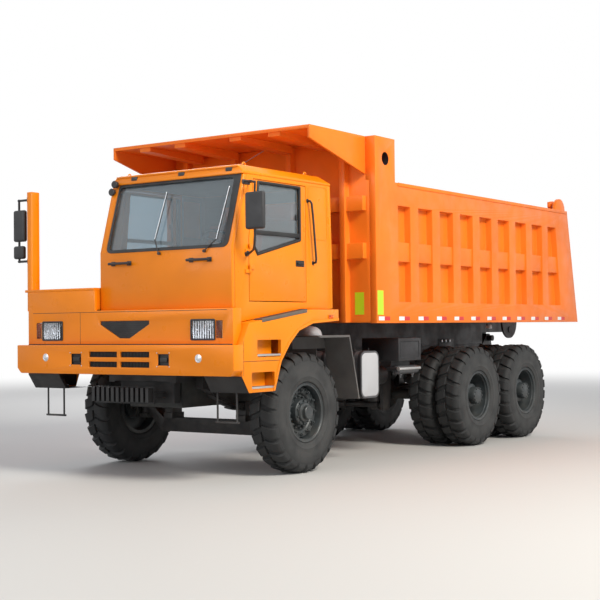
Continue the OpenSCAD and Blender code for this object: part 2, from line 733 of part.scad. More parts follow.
module mudguard_sheets() both() side_plate(1080, 1460, place_y([
    [200, 1550], [860, 1550], [1000, 1040], [1060, 790], [1040, 785], [980, 1030],
    [845, 1535], [200, 1535]]));
module mudguard_brackets() both()
    block([rail_out, 1080], [front_axle_y + 700, front_axle_y + 715], [1250, 1550]);

tank_x0 = 640;
tank_x1 = 1420;
module fuel_tank() color(silver) {
    rod_shape(tank_x0, tank_x1, front_axle_y + 1160, front_axle_y + 1570, 780, 1350, 90);
    mirror([1, 0, 0])
        rod_shape(tank_x0, tank_x1, front_axle_y + 1280, front_axle_y + 2700, 780, 1350, 90);
    for (y = [1260, 1470]) tank_bracket(y);
    for (y = [1400, 2580]) mirror([1, 0, 0]) tank_bracket(y);
}

module tank_bracket(y)
    block([rail_out, tank_x0], [front_axle_y + y - 30, front_axle_y + y + 30], [1080, 1240]);

// Bar along X with a rectangular section whose corners have radius r
module rod_shape(x0, x1, y0, y1, z0, z1, r) {
    translate([x0, 0, 0]) rotate([90, 0, 90]) linear_extrude(x1 - x0) {
        translate([y0 + r, z0]) square([y1 - y0 - 2 * r, z1 - z0]);
        translate([y0, z0 + r]) square([y1 - y0, z1 - z0 - 2 * r]);
        for (y = [y0 + r, y1 - r], z = [z0 + r, z1 - r]) translate([y, z]) circle(r = r);
    }
}

module battery_box() color(dark_grey) {
    block([900, 1450], [front_axle_y + 2000, front_axle_y + 2560], [1210, 1500]);
    block([1250, 1450], [front_axle_y + 2020, front_axle_y + 2540], [1090, 1130]);
    block([1290, 1310], [front_axle_y + 2040, front_axle_y + 2510], [1130, 1210]);
    for (y = [2100, 2460]) block([rail_out, 900], [front_axle_y + y - 40, front_axle_y + y + 40],
        [1230, 1310]);
}

module air_cleaner() color(silver) {
    translate([1080, front_axle_y + 560, 1550]) cylinder(r = 150, h = 60);
    translate([1080, front_axle_y + 560, 1610]) cylinder(r1 = 150, r2 = 60, h = 50);
}

// Swinging step hung under each step unit
ladder_y = front_axle_y - 1260;
ladder_x = [1153, 1414];
module ladder() color(black) both() {
    for (x = ladder_x) block([x - 12, x + 12], [ladder_y - 12, ladder_y + 12], [640, 970]);
    block([ladder_x[0] - 26, ladder_x[1] + 26], [ladder_y - 20, ladder_y + 20], [640, 664]);
}

// Wheels

// Clearance between a tyre and its rim, and half the width across its beads
seat_gap = 0.3;
bead = tyre_w / 2 - 37 - seat_gap;

// One tyre about the origin, with its axis along X: a carcass with a rib round its
// middle, and lugs from that rib over each shoulder
module tyre() {
    rotate([0, 90, 0]) rotate_extrude($fn = 72) polygon(concat(half_tyre(-1), half_tyre(1)));
    for (side = [0, 1], i = [0 : lug_n - 1])
        mirror([side, 0, 0]) rotate([360 * (i + side / 2) / lug_n, 0, 0]) lug();
}

// Half of the carcass's section, from the bead at one side to the middle or back
function half_tyre(side) = [for (i = [0 : 6]) let (p = tyre_points[side < 0 ? i : 6 - i])
    [p[0], side * p[1]]];
tyre_points = [
    [rim_od / 2 + seat_gap, bead], [rim_od / 2 + 18 + seat_gap, bead],
    [rim_od / 2 + 40, tyre_w / 2 - 15], [rim_od / 2 + 90, tyre_w / 2],
    [tyre_od / 2 - 95, tyre_w / 2 - 12], [tyre_od / 2 - lug_h, tyre_w / 2 - 60],
    [tyre_od / 2 - lug_h, 30]];

// One lug, whose top corners lie on the tyre's outside diameter
lug_w = PI * tyre_od / lug_n * 0.56;
module lug() {
    top = sqrt(pow(tyre_od / 2, 2) - lug_w * lug_w / 4);
    translate([0, lug_w / 2, 0]) rotate([90, 0, 0]) linear_extrude(lug_w) polygon([
        [10, tyre_od / 2 - lug_h - 20], [10, top], [tyre_w / 2 - 42, top],
        [tyre_w / 2 - 3, tyre_od / 2 - 88], [tyre_w / 2 - 60, tyre_od / 2 - 100]]);
}

// Rim with its disc at a distance outwards from the middle, and a hub about the spindle
module rim(disc, hub_r, hub_x0, hub_x1) rotate([0, 90, 0]) {
    rotate_extrude() polygon([
        [rim_od / 2 - 25, -tyre_w / 2 + 25], [rim_od / 2 + 18, -tyre_w / 2 + 25],
        [rim_od / 2 + 18, -tyre_w / 2 + 37], [rim_od / 2, -tyre_w / 2 + 37],
        [rim_od / 2, tyre_w / 2 - 37], [rim_od / 2 + 18, tyre_w / 2 - 37],
        [rim_od / 2 + 18, tyre_w / 2 - 25], [rim_od / 2 - 25, tyre_w / 2 - 25]]);
    difference() {
        union() {
            translate([0, 0, disc - 12]) cylinder(r = rim_od / 2 - 20, h = 24);
            translate([0, 0, hub_x0]) cylinder(r = hub_r, h = hub_x1 - hub_x0);
        }
        translate([0, 0, -500]) cylinder(r = spindle_r + pin_gap, h = 1000);
        for (a = [0 : 60 : 300]) rotate([0, 0, a + 30])
            translate([rim_od / 2 - 75, 0, disc - 20]) cylinder(r = 30, h = 40);
    }
}

module front_tyre() color(tyre_black) translate([front_wheel_x, front_axle_y, hub_z]) tyre();
module front_rim() color(dark_grey) translate([front_wheel_x, front_axle_y, hub_z]) {
    rim(90, 150, -60, 140);
    hub_cap(140, 110, 60);
}

// Closed cap over a hub's outer end, clear of the spindle
module hub_cap(x, r, depth) rotate([0, 90, 0]) difference() {
    translate([0, 0, x]) cylinder(r = r, h = depth);
    translate([0, 0, x - 1]) cylinder(r = spindle_r + pin_gap, h = depth - 15);
}

module twin_tyres(y) color(tyre_black) for (side = [-1, 1])
    translate([rear_wheel_x + side * twin_pitch / 2, y, hub_z]) tyre();
// The two hubs of a pair meet 10 mm outside its middle
module twin_rims(y) color(dark_grey) {
    meet = twin_pitch / 2 + 10;
    translate([rear_wheel_x + twin_pitch / 2, y, hub_z]) rim(-120, 165, 20 - meet, 60);
    translate([rear_wheel_x - twin_pitch / 2, y, hub_z]) rim(120, 165, -60, meet);
    translate([rear_wheel_x + twin_pitch / 2, y, hub_z]) hub_cap(60, 120, 90);
}

// Bed

module bed_floor() color(bed_orange) {
    block([-bed_x + rib_d, bed_x - rib_d], [bed_y0 + plate_t, gate_y(floor_top)],
          [floor_top - plate_t, floor_top]);
    for (i = [0 : rib_n]) block([-bed_x + rib_d, bed_x - rib_d],
        [rib_y0 + rib_pitch * i - 50, rib_y0 + rib_pitch * i + 50],
        [sill_top, floor_top - plate_t]);
}

// Two stringers under the bearers, each with an ear on the hinge shaft inside the rail
module bed_stringers() color(bed_orange) both() {
    block([rail_in, rail_out], [bed_y0 + plate_t, bed_hinge_y - 210], [frame_top + 15, sill_top]);
    block([rail_in - 60, rail_out], [bed_hinge_y - 220, gate_top_y + 60],
          [bed_hinge_z + 90, sill_top]);
    difference() {
        side_plate(rail_in - 60, rail_in - 5, [
            [bed_hinge_y - 160, sill_top], [bed_hinge_y - 70, bed_hinge_z - 70],
            [bed_hinge_y + 70, bed_hinge_z - 70], [bed_hinge_y + 160, sill_top]]);
        rod_x(rail_in - 61, rail_in - 4, bed_hinge_y, bed_hinge_z, 45 + pin_gap);
    }
}

// Two plates and a pin on each side that take the hoist's eye
module hoist_lugs() color(bed_orange) both() {
    for (x = [hoist_x - 75, hoist_x + 60]) side_plate(x, x + 15, [
        [hoist_eye_y - 120, sill_top], [hoist_eye_y - 45, hoist_eye_z - 40],
        [hoist_eye_y + 45, hoist_eye_z - 40], [hoist_eye_y + 120, sill_top]]);
    rod_x(hoist_x - 60, hoist_x + 60, hoist_eye_y, hoist_eye_z, hoist_pin_r);
}

// Y of the bed's leaning rear edge at a height
function gate_y(z) = rear_y - gate_lean * (z - bed_z);

// Side walls: bottom rail, shelf, top rail, ribs, posts and a plate behind them
shelf_z = [2450, 2690];
rail_band = 280;
box_w = 140;
module bed_sides() color(bed_orange) both() bed_side();
module bed_side() {
    x0 = bed_x - rib_d;
    x_in = x0 - plate_t;
    post_front = 520;
    // Skin of the wall, from the floor to the top
    side_plate(x_in, x0, [
        [bed_y0 + plate_t, bed_z + 110], [bed_y0 + plate_t, bed_top], [gate_y(bed_top) - 60, bed_top],
        [gate_y(bed_z + 110) - 60, bed_z + 110]]);
    // Bottom rail and top rail, with the shelf set a little deeper
    for (band = [[bed_z, bed_z + 260, 0], [shelf_z[0], shelf_z[1], 20],
                 [bed_top - rail_band, bed_top, 0]])
        side_plate(x0, bed_x - band[2], [
            [bed_y0, band[0]], [bed_y0, band[1]], [gate_y(band[1]), band[1]],
            [gate_y(band[0]), band[0]]]);
    // Ribs and posts, from rail to rail
    z = [bed_z + 260, bed_top - rail_band];
    for (i = [0 : rib_n - 1])
        block([x0, bed_x], [rib_y0 + rib_pitch * i - rib_w / 2, rib_y0 + rib_pitch * i + rib_w / 2], z);
    block([x0, bed_x], [bed_y0, bed_y0 + post_front], z);
    side_plate(x0, bed_x, [
        [gate_y(z[0]) - 600, z[0]], [gate_y(z[1]) - 500, z[1]],
        [gate_y(z[1]), z[1]], [gate_y(z[0]), z[0]]]);
    // Hollow box above the front post, with its lifting hole
    difference() {
        block([bed_x - box_w, bed_x], [bed_y0, post_y1], [bed_top, canopy_z]);
        block([bed_x - box_w + 30, bed_x - 60], [bed_y0 + 30, post_y1 - 30],
              [bed_top + 30, canopy_z - 30]);
        rod_x(bed_x - box_w - 1, bed_x + 1, bed_y0 + 235, canopy_z - 260, lift_r);
    }
    // Half-round lug on the top rail that carries the tailgate's hinge pin
    side_plate(bed_x - 60, bed_x - 10,
               [for (a = [0 : 20 : 180]) [gate_hinge_y + 180 * cos(a), bed_top + 180 * sin(a)]]);
    rod_x(gate_in - 70, bed_x - 60, gate_hinge_y, gate_hinge_z, 25);
}

module bed_headboard() color(bed_orange) {
    block([-bed_x + rib_d, bed_x - rib_d], [bed_y0, bed_y0 + plate_t], [sill_top, bed_top]);
    block([box_w - bed_x, bed_x - box_w], [bed_y0, bed_y0 + plate_t], [bed_top, canopy_z - 40]);
    for (z = [[2470, 2660], [3050, 3230]])
        block([box_w - bed_x, bed_x - box_w], [bed_y0 - 70, bed_y0], z);
    for (x = [-1240, -440, 440, 1240])
        block([x - 40, x + 40], [bed_y0 - 100, bed_y0], [sill_top, canopy_z - 40]);
}

// Canopy plate over the cab, with its side plates and ribs below
canopy_y0 = front_axle_y - 20;
module bed_canopy() color(bed_orange) {
    half = canopy_w / 2;
    block([-half, half], [canopy_y0, bed_y0 + 400], [canopy_z - 40, canopy_z]);
    both() side_plate(half - 30, half, [
        [canopy_y0, canopy_z - 40], [canopy_y0, canopy_z - 150], [bed_y0, 3490],
        [bed_y0, canopy_z - 40]]);
    for (x = [-1000, -430, 430, 1000]) side_plate(x - 85, x + 85, [
        [canopy_y0 + 20, canopy_z - 40], [canopy_y0 + 20, canopy_z - 90],
        [bed_y0 - 110, canopy_z - 140], [bed_y0 - 110, canopy_z - 40]]);
}

// Tailgate hung from two arms
gate_in = bed_x - rib_d - plate_t - gate_gap;
module tailgate() color(bed_orange) {
    z0 = floor_top + gate_gap;
    z1 = bed_top - 40;
    side_plate(-gate_in, gate_in, [
        [gate_y(z0) - 100, z0], [gate_y(z1) - 100, z1], [gate_y(z1) - 60, z1],
        [gate_y(z0) - 60, z0]]);
    for (x = [-gate_in, -790, -40, 710, gate_in - 80]) side_plate(x, x + 80, [
        [gate_y(z0) - 60, z0], [gate_y(z1) - 60, z1], [gate_y(z1), z1], [gate_y(z0), z0]]);
    both() difference() {
        side_plate(gate_in - 60, gate_in - 10, [
            [gate_y(z1) - 100, z1 - 1], [gate_hinge_y - 60, gate_hinge_z - 40],
            [gate_hinge_y - 60, gate_hinge_z + 40], [gate_hinge_y + 60, gate_hinge_z + 60],
            [gate_y(z1), z1 - 1]]);
        rod_x(gate_in - 61, gate_in - 9, gate_hinge_y, gate_hinge_z, 25 + pin_gap);
    }
}

// Hoist

tube1_r = barrel_r - tube_wall - pin_gap;
tube2_r = tube1_r - tube_wall - pin_gap;
rod_r = tube2_r - tube_wall - pin_gap;
module hoist_tube(r, z0, z1) difference() {
    translate([0, 0, z0]) cylinder(r = r, h = z1 - z0);
    translate([0, 0, z0 + tube_wall]) cylinder(r = r - tube_wall, h = z1 - z0);
}

module hoist_barrels() color(dark_grey) both() on_hoist() translate([hoist_x, 0, 0]) {
    hoist_tube(barrel_r, 60, 905);
    difference() {
        rotate([0, 90, 0]) translate([0, 0, -60]) cylinder(r = 70, h = 120);
        rotate([0, 90, 0]) translate([0, 0, -61]) cylinder(r = 40 + pin_gap, h = 122);
    }
}
module hoist_tubes_outer() color(dark_grey) both() on_hoist() translate([hoist_x, 0, 0])
    hoist_tube(tube1_r, 78, 920);
module hoist_tubes_inner() color(dark_grey) both() on_hoist() translate([hoist_x, 0, 0])
    hoist_tube(tube2_r, 94, 932);
module hoist_rods() color(silver) both() on_hoist() translate([hoist_x, 0, 0]) {
    difference() {
        union() {
            translate([0, 0, 110]) cylinder(r = rod_r, h = 820);
            translate([0, 0, 110]) cylinder(r = 40, h = hoist_len - 130);
            rotate([0, 90, 0]) translate([-hoist_len, 0, -45]) cylinder(r = 60, h = 90);
            translate([-45, -60, hoist_len]) cube([90, 120, hoist_slot]);
            rotate([0, 90, 0]) translate([-hoist_len - hoist_slot, 0, -45])
                cylinder(r = 60, h = 90);
        }
        rotate([0, 90, 0]) translate([-hoist_len, 0, -100])
            cylinder(r = hoist_pin_r + pin_gap, h = 200);
        rotate([0, 90, 0]) translate([-hoist_len - hoist_slot, 0, -100])
            cylinder(r = slot_r, h = 200);
        translate([-100, -slot_r, hoist_len]) cube([200, 2 * slot_r, hoist_slot]);
    }
}

frame();
crossmembers();
front_axle();
springs();
rear_axles();
driveline();
engine();
radiator();
bumper();
front_panel();
lamps();
fenders();
deck();
cab_floor();
cab_front();
cab_sides();
cab_back();
cab_roof();
cab_glass();
seats();
dashboard();
mirrors();
mudguards();
fuel_tank();
battery_box();
air_cleaner();
ladder();
door(wall_in, cab_left, door_z0);  // door_left
door_glass(wall_in + 20);  // door_left_glass
door(cab_right, cab_right + cab_t, deck_door_z0);  // door_right
door_glass(cab_right + 20);  // door_right_glass
knuckle();  // knuckle_left
mirror([1, 0, 0]) knuckle();  // knuckle_right
tie_rod();
front_tyre();  // front_left_tyre
front_rim();  // front_left_rim
mirror([1, 0, 0]) front_tyre();  // front_right_tyre
mirror([1, 0, 0]) front_rim();  // front_right_rim
twin_tyres(mid_axle_y);  // mid_left_tyres
twin_rims(mid_axle_y);  // mid_left_rims
mirror([1, 0, 0]) twin_tyres(mid_axle_y);  // mid_right_tyres
mirror([1, 0, 0]) twin_rims(mid_axle_y);  // mid_right_rims
twin_tyres(rear_axle_y);  // rear_left_tyres
twin_rims(rear_axle_y);  // rear_left_rims
mirror([1, 0, 0]) twin_tyres(rear_axle_y);  // rear_right_tyres
mirror([1, 0, 0]) twin_rims(rear_axle_y);  // rear_right_rims
bed_floor();
bed_stringers();
hoist_lugs();
bed_sides();
bed_headboard();
bed_canopy();
tailgate();
hoist_barrels();
hoist_tubes_outer();
hoist_tubes_inner();
hoist_rods();
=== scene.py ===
# %% [markdown]
# # A mining dump truck
#
# The CAD model of the truck is already packed: every solid has its real size and
# place, and every moving body has its joint. This notebook gives it its looks.
# Each cell makes one piece or one finish of the real truck, and says why it is made
# that way. Everything is in metres, +X is the truck's left, +Y its rear, +Z up.

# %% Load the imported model
import json
import math

import bmesh
import bpy
from mathutils import Matrix, Vector


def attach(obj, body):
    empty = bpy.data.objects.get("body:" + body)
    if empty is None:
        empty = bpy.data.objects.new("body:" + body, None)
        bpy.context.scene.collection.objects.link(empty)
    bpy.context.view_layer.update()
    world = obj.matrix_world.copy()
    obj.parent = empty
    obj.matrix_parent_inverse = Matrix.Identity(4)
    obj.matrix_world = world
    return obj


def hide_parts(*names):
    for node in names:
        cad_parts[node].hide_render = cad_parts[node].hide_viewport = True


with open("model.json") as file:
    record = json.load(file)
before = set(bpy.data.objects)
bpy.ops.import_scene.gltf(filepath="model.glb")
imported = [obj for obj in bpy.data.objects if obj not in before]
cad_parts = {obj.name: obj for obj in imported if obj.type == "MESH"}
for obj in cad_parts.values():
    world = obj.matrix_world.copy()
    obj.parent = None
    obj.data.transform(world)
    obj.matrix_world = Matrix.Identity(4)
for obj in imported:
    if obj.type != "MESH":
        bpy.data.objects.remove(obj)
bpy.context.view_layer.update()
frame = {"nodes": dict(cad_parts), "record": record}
nodes = frame["nodes"]

# Where the three axles stand along Y, and how high the hubs are
front_axle = -2.815
mid_axle = front_axle + 3.9
rear_axle = mid_axle + 1.5
hub_z = 0.685

# %% [markdown]
# ## The camera
#
# The photograph was taken from the truck's front left corner at eye height with a
# moderate telephoto lens. The camera is fitted to the photo, so each piece can be
# compared with the picture region by region.

# %% Camera at the photograph's angle
def add_object(name, data):
    """An object of the scene that holds a camera, a lamp or a mesh."""
    thing = bpy.data.objects.new(name, data)
    bpy.context.collection.objects.link(thing)
    return thing

def turned(yaw, pitch, roll):
    """A camera's axes as a matrix, from its yaw, pitch and roll in degrees."""
    yaw, pitch, roll = (math.radians(a) for a in (yaw, pitch, roll))
    ahead = Vector((-math.sin(yaw) * math.cos(pitch), math.cos(yaw) * math.cos(pitch),
                    math.sin(pitch)))
    flat = Vector((math.cos(yaw), math.sin(yaw), 0))
    upright = flat.cross(ahead)
    right = math.cos(roll) * flat + math.sin(roll) * upright
    up = math.cos(roll) * upright - math.sin(roll) * flat
    return Matrix((right, up, -ahead)).transposed()

camera_place = (9.628, -14.512, 1.647)
camera_angles = (35.294, 1.251, -0.599)
lens_data = bpy.data.cameras.new("photo_camera")
lens_data.sensor_width = 36
lens_data.lens = 75.58
camera = add_object("photo_camera", lens_data)
camera.matrix_world = Matrix.Translation(camera_place) @ turned(*camera_angles).to_4x4()
bpy.context.scene.camera = camera
print("camera:", camera_place, "lens:", round(lens_data.lens, 2), "mm")

# %% [markdown]
# ## Floor, backdrop and light
#
# A pale floor that fades into a white surround keeps attention on the truck and
# still takes its shadow. The surround is white only where the camera, a reflection
# or glass sees it. What lights the truck is a dim even sky and large soft lamps:
# the main one on the truck's left, as in the photo, where the left side is brighter
# than the front. Floor, surround and finishes are all built from shader nodes, so a
# few helpers that set and link nodes come first.

# %% Helpers for shader nodes
def set_inputs(node, **values):
    """Sets a node's sockets by name; a low line stands for a space."""
    for socket, value in values.items():
        node.inputs[socket.replace("_", " ")].default_value = value
    return node

def node_of(tree, kind, **values):
    """A new shader node with its sockets set."""
    return set_inputs(tree.nodes.new(kind), **values)

def new_material(name):
    """A material, its node tree and its main shader."""
    material = bpy.data.materials.new(name)
    material.use_nodes = True
    return material, material.node_tree, material.node_tree.nodes["Principled BSDF"]

def in_object_space(tree):
    """Object coordinates, which keep a pattern's real scale on every piece."""
    return tree.nodes.new("ShaderNodeTexCoord").outputs["Object"]

def ranged(tree, value, low=0.0, high=1.0, to_low=0.0, to_high=1.0, curve="LINEAR"):
    """A socket with its range from low to high spread over another range."""
    spread = node_of(tree, "ShaderNodeMapRange", From_Min=low, From_Max=high,
                     To_Min=to_low, To_Max=to_high)
    spread.interpolation_type = curve
    tree.links.new(value, spread.inputs["Value"])
    return spread.outputs["Result"]

def maths(tree, operation, first, second=None):
    """A Math node for one socket, two sockets, or a socket and a number."""
    node = tree.nodes.new("ShaderNodeMath")
    node.operation = operation
    tree.links.new(first, node.inputs[0])
    if isinstance(second, bpy.types.NodeSocket):
        tree.links.new(second, node.inputs[1])
    elif second is not None:
        node.inputs[1].default_value = second
    return node.outputs[0]

def length_of(tree, vector):
    """The length of a vector socket."""
    node = tree.nodes.new("ShaderNodeVectorMath")
    node.operation = "LENGTH"
    tree.links.new(vector, node.inputs[0])
    return node.outputs["Value"]

def show_mix(tree, factor, first, second, end):
    """Mixes two shaders and sends the mix to the tree's output node."""
    mix = tree.nodes.new("ShaderNodeMixShader")
    tree.links.new(factor, mix.inputs["Fac"])
    tree.links.new(first.outputs[0], mix.inputs[1])
    tree.links.new(second.outputs[0], mix.inputs[2])
    tree.links.new(mix.outputs[0], tree.nodes[end].inputs["Surface"])

# %% Surround
scene = bpy.context.scene
scene.view_settings.view_transform = "Standard"
scene.world = bpy.data.worlds.new("surround")
scene.world.use_nodes = True
tree = scene.world.node_tree
sky = set_inputs(tree.nodes["Background"], Color=(0.86, 0.9, 1.0, 1), Strength=0.36)
white = node_of(tree, "ShaderNodeBackground", Color=(1, 1, 1, 1))
rays = tree.nodes.new("ShaderNodeLightPath")
seen = rays.outputs["Is Camera Ray"]
for kind in ("Is Glossy Ray", "Is Transmission Ray"):
    seen = maths(tree, "MAXIMUM", seen, rays.outputs[kind])
show_mix(tree, seen, sky, white, "World Output")

# %% Floor
bm = bmesh.new()
bmesh.ops.create_grid(bm, x_segments=1, y_segments=1, size=60)
floor_mesh = bpy.data.meshes.new("floor")
bm.to_mesh(floor_mesh)
bm.free()
floor = add_object("floor", floor_mesh)

concrete, tree, shader = new_material("pale_floor")
set_inputs(shader, Base_Color=(0.6, 0.59, 0.57, 1), Roughness=0.75)
floor_mesh.materials.append(concrete)

# The floor turns into the white surround with distance, so no horizon shows
fade_from, fade_to = 10, 30
away = length_of(tree, in_object_space(tree))
glow = node_of(tree, "ShaderNodeEmission", Color=(1, 1, 1, 1))
show_mix(tree, ranged(tree, away, fade_from, fade_to, curve="SMOOTHSTEP"), shader, glow,
         "Material Output")
print("floor fades from", fade_from, "to", fade_to, "metres")

# %% Lamps
def soft_lamp(name, place, target, size, watts, colour):
    """A square area lamp that faces a target."""
    lamp = bpy.data.lights.new(name, "AREA")
    lamp.size = size
    lamp.energy = watts
    lamp.color = colour
    thing = add_object(name, lamp)
    thing.location = place
    thing.rotation_euler = (Vector(target) - Vector(place)).to_track_quat("-Z", "Y").to_euler()
    print(name, watts, "watts")

soft_lamp("sun_side", (13, -5, 11), (0, 0, 1.5), 5, 2700, (1, 0.96, 0.88))
soft_lamp("front_fill", (-3, -16, 7), (0, -2, 1.5), 8, 540, (0.95, 0.97, 1))
soft_lamp("rear_fill", (-10, 10, 9), (0, 0, 2), 8, 900, (0.95, 0.97, 1))

# %% [markdown]
# ## Finishes
#
# Paint, cast iron, rubber and plastic differ by their colour, by how sharp a
# reflection they give and by their small relief. Each finish here is built from
# noise in object space, so that a pattern keeps its real scale on a large bed and on
# a small lamp. A Bevel node bends the light at hard edges, as a rolled or welded
# edge does on the real truck, and dust gathers towards the ground.

# %% Building blocks for materials
def speckle(tree, scale, detail=4.0, low=0.35, high=0.65):
    """Noise in object space, spread to run from 0 to 1."""
    cloud = node_of(tree, "ShaderNodeTexNoise", Scale=scale, Detail=detail)
    tree.links.new(in_object_space(tree), cloud.inputs["Vector"])
    return ranged(tree, cloud.outputs["Fac"], low, high)

def blend_colours(tree, factor, first, second):
    """Mixes two colours or colour sockets by a factor socket."""
    mix = tree.nodes.new("ShaderNodeMix")
    mix.data_type = "RGBA"
    tree.links.new(factor, mix.inputs["Factor"])
    for socket, value in ((mix.inputs[6], first), (mix.inputs[7], second)):
        if isinstance(value, bpy.types.NodeSocket):
            tree.links.new(value, socket)
        else:
            socket.default_value = (*value, 1)
    return mix.outputs[2]

def near_ground(tree, low, high):
    """1 at a height of low and 0 at a height of high."""
    split = tree.nodes.new("ShaderNodeSeparateXYZ")
    tree.links.new(in_object_space(tree), split.inputs[0])
    return ranged(tree, split.outputs["Z"], high, low)

def relief(tree, shader, height, strength, distance, edge):
    """Bumps a shader by a height socket, over edges rounded by a Bevel node."""
    bump = node_of(tree, "ShaderNodeBump", Strength=strength, Distance=distance)
    tree.links.new(height, bump.inputs["Height"])
    if edge:
        rounded_edge = node_of(tree, "ShaderNodeBevel", Radius=edge)
        rounded_edge.samples = 4
        tree.links.new(rounded_edge.outputs["Normal"], bump.inputs["Normal"])
    tree.links.new(bump.outputs["Normal"], shader.inputs["Normal"])

# %% One finish
dust_colour = (0.42, 0.37, 0.3)

def finish(name, colour, roughness, patch, metallic=0.0, patch_scale=1.2, dust=0.0,
           dust_top=1.4, grain=300.0, grain_depth=0.0006, edge=0.004, coat=0.0, shine=0.5):
    """A surface of one colour with soft patches, dust low down, grain and rounded edges."""
    material, tree, shader = new_material(name)
    set_inputs(shader, Metallic=metallic, Specular_IOR_Level=shine, Coat_Weight=coat,
               Coat_Roughness=0.08)
    dark = tuple(c * (1 - patch) for c in colour)
    light = tuple(min(1, c * (1 + patch)) for c in colour)
    base = blend_colours(tree, speckle(tree, patch_scale), dark, light)
    if dust:
        settled = maths(tree, "MULTIPLY", speckle(tree, 7, 6, 0.3, 0.75),
                        near_ground(tree, 0.2, dust_top))
        base = blend_colours(tree, maths(tree, "MULTIPLY", settled, dust), base, dust_colour)
    tree.links.new(base, shader.inputs["Base Color"])
    gloss = ranged(tree, speckle(tree, 5, 5), to_low=roughness * 0.8,
                   to_high=min(1, roughness * 1.25))
    tree.links.new(gloss, shader.inputs["Roughness"])
    relief(tree, shader, speckle(tree, grain, 2), 0.35, grain_depth, edge)
    return material

# %% The truck's finishes
cab_orange = finish("cab_orange", (0.86, 0.235, 0.003), 0.34, patch=0.05, dust=0.03,
                    dust_top=1.3, grain=90, grain_depth=0.0003, coat=0.1, shine=0.25)
bed_orange = finish("bed_orange", (0.87, 0.19, 0.014), 0.4, patch=0.07, dust=0.08,
                    dust_top=2.2, grain=60, grain_depth=0.0004, coat=0.06, shine=0.25)
# chassis_black also carries the painted shade inside the step units
chassis_black = finish("chassis_black", (0.012, 0.012, 0.014), 0.48, patch=0.3, dust=0.12,
                       dust_top=1.3)
castings = finish("castings", (0.02, 0.023, 0.024), 0.6, patch=0.25, dust=0.16,
                  grain=45, grain_depth=0.0015)
wheel_paint = finish("wheel_paint", (0.026, 0.033, 0.037), 0.4, patch=0.2, dust=0.12,
                     dust_top=1.2, patch_scale=6)
dark_plastic = finish("dark_plastic", (0.02, 0.02, 0.022), 0.5, patch=0.15, grain=500,
                      grain_depth=0.0004)
tank_metal = finish("tank_metal", (0.55, 0.56, 0.58), 0.38, metallic=0.85, patch=0.08,
                    dust=0.2, grain=200, grain_depth=0.0003)
lamp_silver = finish("lamp_silver", (0.85, 0.86, 0.88), 0.22, metallic=0.7, patch=0.03)
rod_chrome = finish("rod_chrome", (0.62, 0.63, 0.65), 0.12, metallic=1.0, patch=0.05)
dome_white = finish("dome_white", (0.46, 0.47, 0.49), 0.35, patch=0.1, dust=0.12)
guard_grey = finish("guard_grey", (0.105, 0.1, 0.097), 0.55, patch=0.2, dust=0.15, grain=200)
tank_side = finish("tank_side", (0.09, 0.092, 0.1), 0.45, metallic=0.4, patch=0.15, dust=0.15)
lining_grey = finish("lining_grey", (0.085, 0.092, 0.1), 0.75, patch=0.1, grain=400)
grip_grey = finish("grip_grey", (0.15, 0.125, 0.105), 0.6, metallic=0.3, patch=0.25, grain=150,
                   grain_depth=0.002)
# rubber_black also carries the painted shade under and inside the step units
rubber_black = finish("rubber_black", (0.012, 0.012, 0.013), 0.55, patch=0.2, edge=0.002)
tread_plate = finish("tread_plate", (0.5, 0.5, 0.49), 0.4, metallic=0.8, patch=0.15,
                     grain=120, grain_depth=0.002)

# %% [markdown]
# Tyre rubber is nearly black on the tread and a little greyer on the sidewall, where
# road dust stays. The sidewall also has fine moulded rings. Both are drawn by the
# distance from the axle, so each axle has its own copy of the finish with its own
# centre.

# %% Tyre rubber
tread_from, wall_from = 0.66, 0.5

def tyre_rubber(name, axle_y):
    """Rubber with a greyer sidewall; the Mapping node puts the pattern on the axle."""
    material, tree, shader = new_material(name)
    centre = node_of(tree, "ShaderNodeMapping", Location=(0, -axle_y, -hub_z), Scale=(0, 1, 1))
    tree.links.new(in_object_space(tree), centre.inputs["Vector"])
    reach = length_of(tree, centre.outputs["Vector"])
    wall = ranged(tree, reach, tread_from, wall_from)
    dusty = maths(tree, "MULTIPLY", wall, speckle(tree, 5, 6, 0.25, 0.6))
    base = blend_colours(tree, dusty, (0.013, 0.014, 0.015), (0.041, 0.042, 0.042))
    tree.links.new(base, shader.inputs["Base Color"])
    set_inputs(shader, Roughness=0.72)
    rings = maths(tree, "SINE", maths(tree, "MULTIPLY", reach, 420))
    relief(tree, shader, maths(tree, "MULTIPLY", rings, wall), 0.25, 0.0015, 0.003)
    return material

tyre_front = tyre_rubber("tyre_front", front_axle)
tyre_mid = tyre_rubber("tyre_mid", mid_axle)
tyre_rear = tyre_rubber("tyre_rear", rear_axle)

# %% Glass, lenses and small colours
def clear(name, colour, roughness=0.0, ior=1.45, smudge=0.0, through=1.0):
    """Glass or a lens, with a faint film that catches the light."""
    material, tree, shader = new_material(name)
    set_inputs(shader, Base_Color=(*colour, 1), Transmission_Weight=through, IOR=ior)
    film = ranged(tree, speckle(tree, 3, 6), to_low=roughness, to_high=roughness + smudge)
    tree.links.new(film, shader.inputs["Roughness"])
    return material

